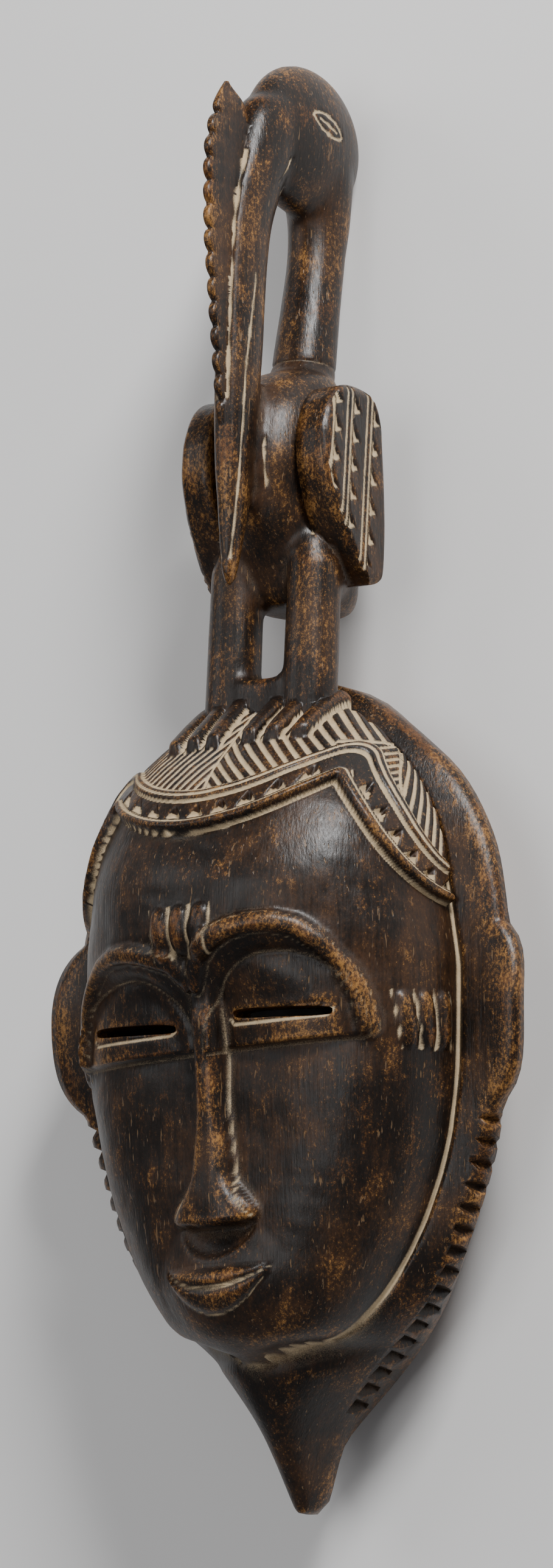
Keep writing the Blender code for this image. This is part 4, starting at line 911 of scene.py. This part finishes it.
def wing_carving(w, v, border):
    """Cut depth and clay on the wing's outer face: leaning lines, pointed notches between them, the
    sloping facet of each notch given little clay as painted shade.
    """
    leaning = w - LINE_LEAN * (WING_MIDDLE - v)
    cut = clay = max(LINE_SHARE * max(0.0, 1 - abs(leaning - place) / LINE_HALF)
                     for place in LINE_PLACES)
    for start, base, pitch in NOTCH_PLACES:
        row = (v - base) / pitch
        s, t = (leaning - start) / NOTCH_WIDE, (row - math.floor(row)) * pitch / NOTCH_TALL
        lower, slope = min(t - NOTCH_TILT * (1 - s), 1 - s), s - t
        deep = min(max(min(lower, slope) * NOTCH_EDGE, 0.0), 1.0)
        deep = deep * (NOTCH_SPAN[0] < v < NOTCH_SPAN[1])
        # Near the notch's base the clay is full; towards its sloping side only a little, as painted
        # shade where that facet lies in shadow.
        kept = NOTCH_CLAY if lower < NOTCH_SIDE * slope else NOTCH_SHADE
        cut, clay = max(cut, deep), max(clay, deep * kept)
    return (cut, clay) if border < CARVED_BORDER else (0.0, 0.0)


def wing_x(side):
    """Faces of one wing: a plain inner one, and an outer one carved and worn at its border."""
    def place(outer, s, border, v, w):
        if not outer:
            return side * WING_INNER
        cut, _ = wing_carving(w, v, border)
        worn = WING_ROUND * max(0.0, border - WORN_BORDER) ** 2 / WORN_SPREAD
        level = WING_OUTER - worn + WING_SPLAY * (WING_MIDDLE - v)
        return side * (level - WING_CUT_DEPTH * cut)
    return place


def wing(side):
    reach = np.linspace(-1, 1, WING_ROWS + 1), np.linspace(-1, 1, WING_ROWS // 4 + 1)
    low, high = WING_FRONT[0][0], WING_FRONT[-1][0]
    middle, half = (low + high) / 2, (high - low) / 2
    rows = [middle + half * (0.5 * np.sin(r * math.pi / 2) + 0.5 * r) for r in reach]
    return leaf("wing", (rows[1], rows[0]), (WING_COLUMNS // 4, WING_COLUMNS),
                lambda v: (float(along(WING_REAR, v)), float(along(WING_FRONT, v))), wing_x(side),
                lambda outer, v, w, border: wing_carving(w, v, border)[1] if outer else 0.0)


wings = [wing(-1), wing(1)]
print("wings", [len(piece.data.polygons) for piece in wings], "faces")

# %% [markdown]
# The rough masses are remade as one even skin of small faces, and a few rounds of smoothing melt
# the creases where neck meets body and beak meets head.

# %% Even skin
VOXEL, SKIN_SMOOTHING = 1.6, 4


def even_skin(obj, size, rounds_of_smoothing):
    """Remade skin of small even faces, smoothed a few times."""
    change = obj.modifiers.new("skin", 'REMESH')
    change.mode, change.voxel_size = 'VOXEL', size * MM
    apply_changes(obj)
    bm = bmesh.new()
    bm.from_mesh(obj.data)
    for _ in range(rounds_of_smoothing):
        bmesh.ops.smooth_vert(bm, verts=bm.verts, factor=0.5, use_axis_x=True,
                              use_axis_y=True, use_axis_z=True)
    for face in bm.faces:
        face.smooth = True
    bm.to_mesh(obj.data)
    bm.free()


even_skin(bird, VOXEL, SKIN_SMOOTHING)
print("bird's skin", len(bird.data.polygons), "faces")

# %% [markdown]
# The knife lines on the bird are the parting of the beak, the root of the casque, a ring where the
# neck rises, the creases of the jaw and breast, and the almond eyes. Each is a path. The skin is
# made finer only along the paths, then pressed in there, and the clay is noted.

# %% Knife lines on the bird
LINE_WIDE, LINE_DEEP, FINE_REACH = 0.66, 0.5, 1.35
LINE_CLAY, CLAY_VARY, CLAY_LEAST, CLAY_MOST = 0.62, 0.35, 0.15, 0.9
NECK_RING_CLAY, NECK_REACH, NECK_FOOT, NECK_FRONT = 0.3, 20, 374, 50
HEAD_CLAY, HEAD_FOOT = 0.75, 452
EYE_MIDDLE, EYE_ALMOND, EYE_TURN = (465.5, 33.0), (8.2, 3.2), 0.31
EYE_STEPS, ALMOND_POINT, PUPIL = 24, 0.4, (4.6, 1.5)


def eye_points():
    """Almond outline of the eye in (level, height)."""
    points = []
    level_part, height_part = math.cos(EYE_TURN), math.sin(EYE_TURN)
    for i in range(EYE_STEPS + 1):
        angle = 2 * math.pi * i / EYE_STEPS
        along_eye = EYE_ALMOND[0] * math.cos(angle)
        open_eye = EYE_ALMOND[1] * math.sin(angle) * abs(math.sin(angle)) ** ALMOND_POINT
        points.append((EYE_MIDDLE[1] + along_eye * level_part - open_eye * height_part,
                       EYE_MIDDLE[0] + along_eye * height_part + open_eye * level_part))
    return points


BEAK_ROOT = [(w + 0.93 * deep, v) for v, w, half, deep in BEAK if 346 < v < 456]
SIDE_LINES = [
    [(67.8, 408), (68.8, 401), (71.6, 385), (73.3, 373), (74.8, 350), (75.4, 333), (76.3, 312)],
    BEAK_ROOT, [(56.0, 441), (52.0, 446), (49.5, 451)], [(52.0, 438.5), (49.5, 441.5)],
    eye_points(), [(EYE_MIDDLE[1] - PUPIL[0], EYE_MIDDLE[0] - PUPIL[1]),
                   (EYE_MIDDLE[1] + PUPIL[0], EYE_MIDDLE[0] + PUPIL[1])]]
RING_LINES = [((383.5, 30.5), (17.0, 15.5), 0.12)]
BREAST_LINES = [[(19.0, 368, 52), (20.0, 358, 55), (20.3, 345, 57), (19.6, 332, 54.5),
                 (17.6, 322, 51)],
                [(7.0, 363, 60.5), (7.6, 350, 65.5), (7.4, 337, 63.5)]]


def segment_distance(spots, path):
    """Distance of points to a path, in as many directions as the points have."""
    best = np.full(len(spots), 1e6)
    for a, b in zip(path[:-1], path[1:]):
        a, b = np.array(a, float), np.array(b, float)
        t = np.clip(((spots - a) @ (b - a)) / ((b - a) @ (b - a)), 0.0, 1.0)
        best = np.minimum(best, np.linalg.norm(spots - a - t[:, None] * (b - a), axis=1))
    return best


def line_distance(spots):
    """Distance of points (|x|, height, level) to the nearest knife line, each side alike."""
    best = np.full(len(spots), 1e6)
    flat = spots[:, [2, 1]]
    for path in SIDE_LINES:
        best = np.minimum(best, segment_distance(flat, path))
    for (v, w), (half, deep), tilt in RING_LINES:
        round_neck = np.hypot(spots[:, 0] / half, (spots[:, 2] - w) / deep)
        near = np.abs(spots[:, 1] - v - tilt * (spots[:, 2] - w))
        best = np.where(round_neck < 1.15, np.minimum(best, near), best)
    for path in BREAST_LINES:
        best = np.minimum(best, segment_distance(spots, path))
    return best


def bird_spots(verts):
    """Vertices as (|x|, height, level) in the mask's own millimetres."""
    spots = np.array([vert.co[:] for vert in verts]) / MM
    return np.stack([np.abs(spots[:, 0] - SHIFT_X), spots[:, 1] - SHIFT_Y, spots[:, 2]], axis=1)


def cut_knife_lines(obj):
    """Finer faces along the knife lines, pressed in there, and the clay they hold."""
    bm = bmesh.new()
    bm.from_mesh(obj.data)
    for reach in (FINE_REACH, FINE_REACH * 0.6):
        bm.verts.ensure_lookup_table()
        near = line_distance(bird_spots(bm.verts)) < reach
        edges = [edge for edge in bm.edges
                 if near[edge.verts[0].index] and near[edge.verts[1].index]]
        bmesh.ops.subdivide_edges(bm, edges=edges, cuts=1, use_grid_fill=True)
        bm.verts.index_update()
    bmesh.ops.triangulate(bm, faces=[face for face in bm.faces if len(face.verts) > 4])
    clay = bm.verts.layers.float.new("clay")
    bm.normal_update()
    bm.verts.ensure_lookup_table()
    spots = bird_spots(bm.verts)
    cut = groove_cut(line_distance(spots), LINE_WIDE)
    uneven = CLAY_VARY * ripple(spots[:, 1], spots[:, 2], 11.0, 12)
    held = np.clip(LINE_CLAY + uneven, CLAY_LEAST, CLAY_MOST)
    neck = (spots[:, 0] < NECK_REACH) & (spots[:, 1] > NECK_FOOT) & (spots[:, 2] < NECK_FRONT)
    held = np.where(neck, NECK_RING_CLAY, held)
    held = np.where(spots[:, 1] > HEAD_FOOT, HEAD_CLAY, held)
    for vert, deep, kept in zip(bm.verts, cut, held):
        if deep > 0:
            vert.co -= vert.normal * (LINE_DEEP * float(deep) * MM)
            vert[clay] = float(kept) * float(deep) ** 0.7
    bm.to_mesh(obj.data)
    bm.free()


cut_knife_lines(bird)
print("bird's skin with knife lines", len(bird.data.polygons), "faces")

# %% [markdown]
# ## One block
# The real mask is a single block of wood, so bird, casque, wings and face become one closed skin.
# The notes of clay are looked up again afterwards from the nearest point of the carved pieces.

# %% One block
carved = [mask, bird, casque] + wings
noted = []
for piece in carved:
    values = [item.value for item in piece.data.attributes["clay"].data]
    noted += [(vert.co.copy(), value) for vert, value in zip(piece.data.vertices, values)]
memory = KDTree(len(noted))
for index, (spot, _) in enumerate(noted):
    memory.insert(spot, index)
memory.balance()

for piece in [casque] + wings:
    combine(bird, piece, 'UNION')
combine(mask, bird, 'UNION')
print("mask and bird", sum(len(face.vertices) - 2 for face in mask.data.polygons), "triangles")

# %% [markdown]
# Polish wears the ridges and dirt stays in the hollows. Comparing each point with the average of
# the surface around it tells the two apart, and the finish reads the result as an attribute.

# %% Hollows and ridges
CLAY_REACH, FINE_BLUR, WIDE_BLUR = 0.35, 4, 22
FULL_HOLLOW, FULL_RIDGE = (0.5, 1.6), (0.35, 1.3)


def stored(mesh, name, values):
    layer = mesh.attributes.get(name) or mesh.attributes.new(name, 'FLOAT', 'POINT')
    layer.data.foreach_set("value", np.asarray(values, np.float32))


def measure_hollows(mesh, rounds_of_blur):
    """How far each vertex lies below the blurred surface, in millimetres."""
    count = len(mesh.vertices)
    spots, ends = np.zeros(count * 3), np.zeros(len(mesh.edges) * 2, np.int64)
    mesh.vertices.foreach_get("co", spots)
    mesh.edges.foreach_get("vertices", ends)
    spots, ends = spots.reshape(-1, 3) / MM, ends.reshape(-1, 2)
    normals = np.zeros(count * 3)
    mesh.vertices.foreach_get("normal", normals)
    near = np.maximum(np.bincount(ends.ravel(), minlength=count), 1)[:, None]
    soft = spots
    for _ in range(rounds_of_blur):
        total = np.zeros_like(soft)
        for axis in range(3):
            total[:, axis] = (np.bincount(ends[:, 0], soft[ends[:, 1], axis], count)
                              + np.bincount(ends[:, 1], soft[ends[:, 0], axis], count))
        soft = total / near
    return ((soft - spots) * normals.reshape(-1, 3)).sum(axis=1)


def halves(fine, broad, full):
    """0 to 1, half from the fine measure and half from the broad one."""
    return np.clip(fine / full[0], 0, 1) * 0.5 + np.clip(broad / full[1], 0, 1) * 0.5


found = [memory.find(vert.co) for vert in mask.data.vertices]
stored(mask.data, "clay", [noted[index][1] if gap < CLAY_REACH * MM else 0.0
                           for _, index, gap in found])
small, wide = measure_hollows(mask.data, FINE_BLUR), measure_hollows(mask.data, WIDE_BLUR)
stored(mask.data, "hollow", halves(small, wide, FULL_HOLLOW))
stored(mask.data, "ridge", halves(-small, -wide, FULL_RIDGE))
print("deepest hollow", round(float(wide.max()), 2), "sharpest ridge", round(float(-wide.min()), 2))

# %% [markdown]
# ## Finish
# The wood is nearly black from age and smoke, browner where it has been handled, with orange-brown
# worn patches, fine upright grain and scratches. Pale clay sits in the cuts. One small class lets
# the shader sums be written as plain arithmetic.

# %% Shader arithmetic
class Wire:
    """A socket in a material's nodes, with arithmetic that adds Math nodes."""

    def __init__(self, tree, socket):
        self.tree, self.socket = tree, socket

    def node(self, kind, settings=(), out=0, **inputs):
        made = self.tree.nodes.new(kind)
        for name, value in dict(settings).items():
            if name == "stops":
                ramp = made.color_ramp
                while len(ramp.elements) < len(value):
                    ramp.elements.new(0.5)
                for element, (place, colour) in zip(ramp.elements, value):
                    element.position, element.color = place, colour
            else:
                setattr(made, name, value)
        for name, value in inputs.items():
            key = int(name[1:]) if name[0] == "_" else name.replace("_", " ")
            if isinstance(value, Wire):
                self.tree.links.new(value.socket, made.inputs[key])
            else:
                made.inputs[key].default_value = value
        return Wire(self.tree, made.outputs[out])

    def math(self, operation, first, second=0.0, third=0.0):
        return self.node("ShaderNodeMath", {"operation": operation}, _0=first, _1=second, _2=third)

    def __add__(self, other):
        return self.math('ADD', self, other)

    def __radd__(self, other):
        return self.math('ADD', other, self)

    def __sub__(self, other):
        return self.math('SUBTRACT', self, other)

    def __rsub__(self, other):
        return self.math('SUBTRACT', other, self)

    def __mul__(self, other):
        return self.math('MULTIPLY', self, other)

    def __rmul__(self, other):
        return self.math('MULTIPLY', other, self)

    def power(self, other):
        return self.math('POWER', self, other)

    def atleast(self, other):
        return self.math('MAXIMUM', self, other)

    def step(self, low, high):
        """Smoothly from 0 at low to 1 at high."""
        return self.node("ShaderNodeMapRange", {"interpolation_type": 'SMOOTHSTEP'}, Value=self,
                         From_Min=low, From_Max=high, To_Min=0.0, To_Max=1.0)

    def mix(self, first, second):
        """Colour first where this is 0, second where it is 1."""
        return self.node("ShaderNodeMix", {"data_type": 'RGBA'}, out=2, _0=self, _6=first,
                         _7=second)


def new_material(name):
    made = bpy.data.materials.new(name)
    made.use_nodes = True
    tree = made.node_tree
    tree.nodes.clear()
    start = tree.nodes.new("ShaderNodeTexCoord")
    shader = tree.nodes.new("ShaderNodeBsdfPrincipled")
    output = tree.nodes.new("ShaderNodeOutputMaterial")
    tree.links.new(shader.outputs[0], output.inputs[0])
    return made, Wire(tree, start.outputs["Object"]), shader


def feed(wire, shader, socket):
    wire.tree.links.new(wire.socket, shader.inputs[socket])


print("shader arithmetic ready")

# %% [markdown]
# Noise stretched along the mask's height gives grain and scratches, because the fibres run up the
# block. Wide noise breaks the colour into blotches, and the ridge attribute turns them to worn
# orange where hands and cloth have rubbed. The clay is dusty: rough, uneven and partly rubbed out.

# %% Carved wood
DARK_WOOD, BROWN_WOOD = (0.008, 0.005, 0.0035, 1), (0.052, 0.022, 0.008, 1)
WORN_WOOD, GOLD_WOOD = (0.125, 0.048, 0.012, 1), (0.32, 0.155, 0.042, 1)
SCRATCHED, DUSTY = (0.34, 0.20, 0.09, 1), (0.30, 0.22, 0.14, 1)
CLAY_BROWN, CLAY_PALE = (0.40, 0.28, 0.15, 1), (0.68, 0.55, 0.36, 1)


def noise(place, scale, detail=4.0, rough=0.55, stretch=None, shift=(0.0, 0.0, 0.0)):
    if stretch:
        place = place.node("ShaderNodeMapping", Vector=place, Scale=stretch, Location=shift)
    return place.node("ShaderNodeTexNoise", Vector=place, Scale=scale, Detail=detail,
                      Roughness=rough)


def carved_wood():
    """Dark wood with brown blotches, worn gold patches, grain, scratches, dust and clay."""
    made, place, shader = new_material("Carved dark wood")
    clay = place.node("ShaderNodeAttribute", {"attribute_name": "clay"}, out="Fac")
    hollow = place.node("ShaderNodeAttribute", {"attribute_name": "hollow"}, out="Fac")
    ridge = place.node("ShaderNodeAttribute", {"attribute_name": "ridge"}, out="Fac")
    blotch = noise(place, 26.0, 5.0, 0.6)
    patch = noise(place, 105.0, 6.0, 0.7, (1.0, 0.65, 1.0), (3.1, 0.7, 1.9))
    grain = noise(place, 420.0, 5.0, 0.6, (1.0, 0.06, 1.0))
    fine = noise(place, 1500.0, 3.0, 0.6, (1.0, 0.05, 1.0))
    scratch = noise(place, 900.0, 2.0, 0.5, (1.0, 0.16, 1.0), (0.4, 5.0, 2.0)).step(0.66, 0.72)
    speck = noise(place, 2600.0, 4.0, 0.7)
    fleck = noise(place, 1150.0, 3.0, 0.65, (1.0, 0.6, 1.0), (2.0, 1.0, 7.0))

    brown = (blotch.step(0.36, 0.66) * 0.5 + (grain - 0.5) * 0.9 + (patch - 0.5) * 1.3
             + (fleck - 0.5) * 0.9 + 0.12).step(0.0, 1.0)
    wood = brown.mix(DARK_WOOD, BROWN_WOOD)
    worn = (ridge * 0.52 + patch.step(0.44, 0.70) * 0.42 + (speck - 0.5) * 1.9
            + (fleck - 0.5) * 1.7 + (grain - 0.5) * 0.7 - hollow * 0.8 - 0.09).step(0.22, 0.95)
    gold = (blotch + (fleck - 0.5) * 0.8).step(0.42, 0.66).mix(WORN_WOOD, GOLD_WOOD)
    wood = (worn * 0.92).mix(wood, gold)
    wood = (scratch * 0.35).mix(wood, SCRATCHED)
    dust = (hollow.step(0.25, 0.95) * speck.step(0.42, 0.62)) * 0.20
    filled = (clay * (0.85 + (speck - 0.5) * 1.3 + (patch - 0.5) * 0.8)).step(0.14, 0.50)
    shade = noise(place, 300.0, 3.0, 0.6).mix(CLAY_BROWN, CLAY_PALE)
    wood = dust.mix(wood, DUSTY)
    feed((filled * 0.92).mix(wood, shade), shader, "Base Color")

    gloss = 0.38 + (blotch - 0.5) * 0.25 + (patch - 0.5) * 0.25 + (fine - 0.5) * 0.3
    rough = (gloss + filled * 0.5 + dust * 1.2).atleast(0.22)
    feed(rough.math('MINIMUM', rough, 0.95), shader, "Roughness")
    height = (grain - 0.5) * 0.6 + (fine - 0.5) * 0.35 + (patch - 0.5) * 0.8 - scratch * 0.35
    bump = place.node("ShaderNodeBump", Strength=0.6, Distance=0.0004,
                      Height=height - filled * 0.15)
    feed(bump, shader, "Normal")
    shader.inputs["Specular IOR Level"].default_value = 0.36
    return made


mask.data.materials.clear()
mask.data.materials.append(carved_wood())
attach(mask, "root")
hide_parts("mask")
print("wood finish has", len(mask.data.materials[0].node_tree.nodes), "nodes")

# %% [markdown]
# ## Floor and light
# A plain pale floor and soft square lights, as in a studio: the strongest, from beyond the bird's
# head and to the right, gives the gleams and the shadow under brows and nose, a weak one opens
# the far side, and one from above keeps the floor pale.

# %% Floor and lights
LIGHT_AIM, FLOOR_HALF, SKY, SKY_STRENGTH = (0, 0, 0.05), 20.0, (0.95, 0.96, 1.0, 1), 0.2
PAPER_DARK, PAPER_PALE, PAPER_ROUGH = (0.80, 0.79, 0.78, 1), (0.84, 0.83, 0.82, 1), 0.9
bm = bmesh.new()
bmesh.ops.create_grid(bm, x_segments=1, y_segments=1, size=FLOOR_HALF)
floor = to_object("studio_floor", bm)
paper, paper_place, paper_shader = new_material("Pale paper")
feed(noise(paper_place, 3.0).mix(PAPER_DARK, PAPER_PALE), paper_shader, "Base Color")
paper_shader.inputs["Roughness"].default_value = PAPER_ROUGH
floor.data.materials.append(paper)


def soft_light(name, place, size, power):
    """Square lamp at a place, turned to the mask."""
    light = bpy.data.lights.new(name, 'AREA')
    light.shape, light.size, light.energy = 'SQUARE', size, power
    obj = bpy.data.objects.new(name, light)
    bpy.context.collection.objects.link(obj)
    obj.location = place
    obj.rotation_euler = (Vector(LIGHT_AIM) - Vector(place)).to_track_quat('-Z', 'Y').to_euler()


soft_light("key", (0.95, 1.2, 0.95), 0.4, 38.0)
soft_light("fill", (-1.1, 0.6, 1.2), 0.8, 4.0)
soft_light("top", (0.1, 0.1, 2.6), 1.4, 16.0)
world = bpy.data.worlds.new("studio")
world.use_nodes = True
sky = world.node_tree.nodes["Background"]
sky.inputs["Color"].default_value = SKY
sky.inputs["Strength"].default_value = SKY_STRENGTH
bpy.context.scene.world = world

# %% [markdown]
# The finished mask has to stay inside the CAD model's box, so that box is written down again.

# %% Sizes
print("CAD   ", [round(v, 4) for v in cad_low], [round(v, 4) for v in cad_high])
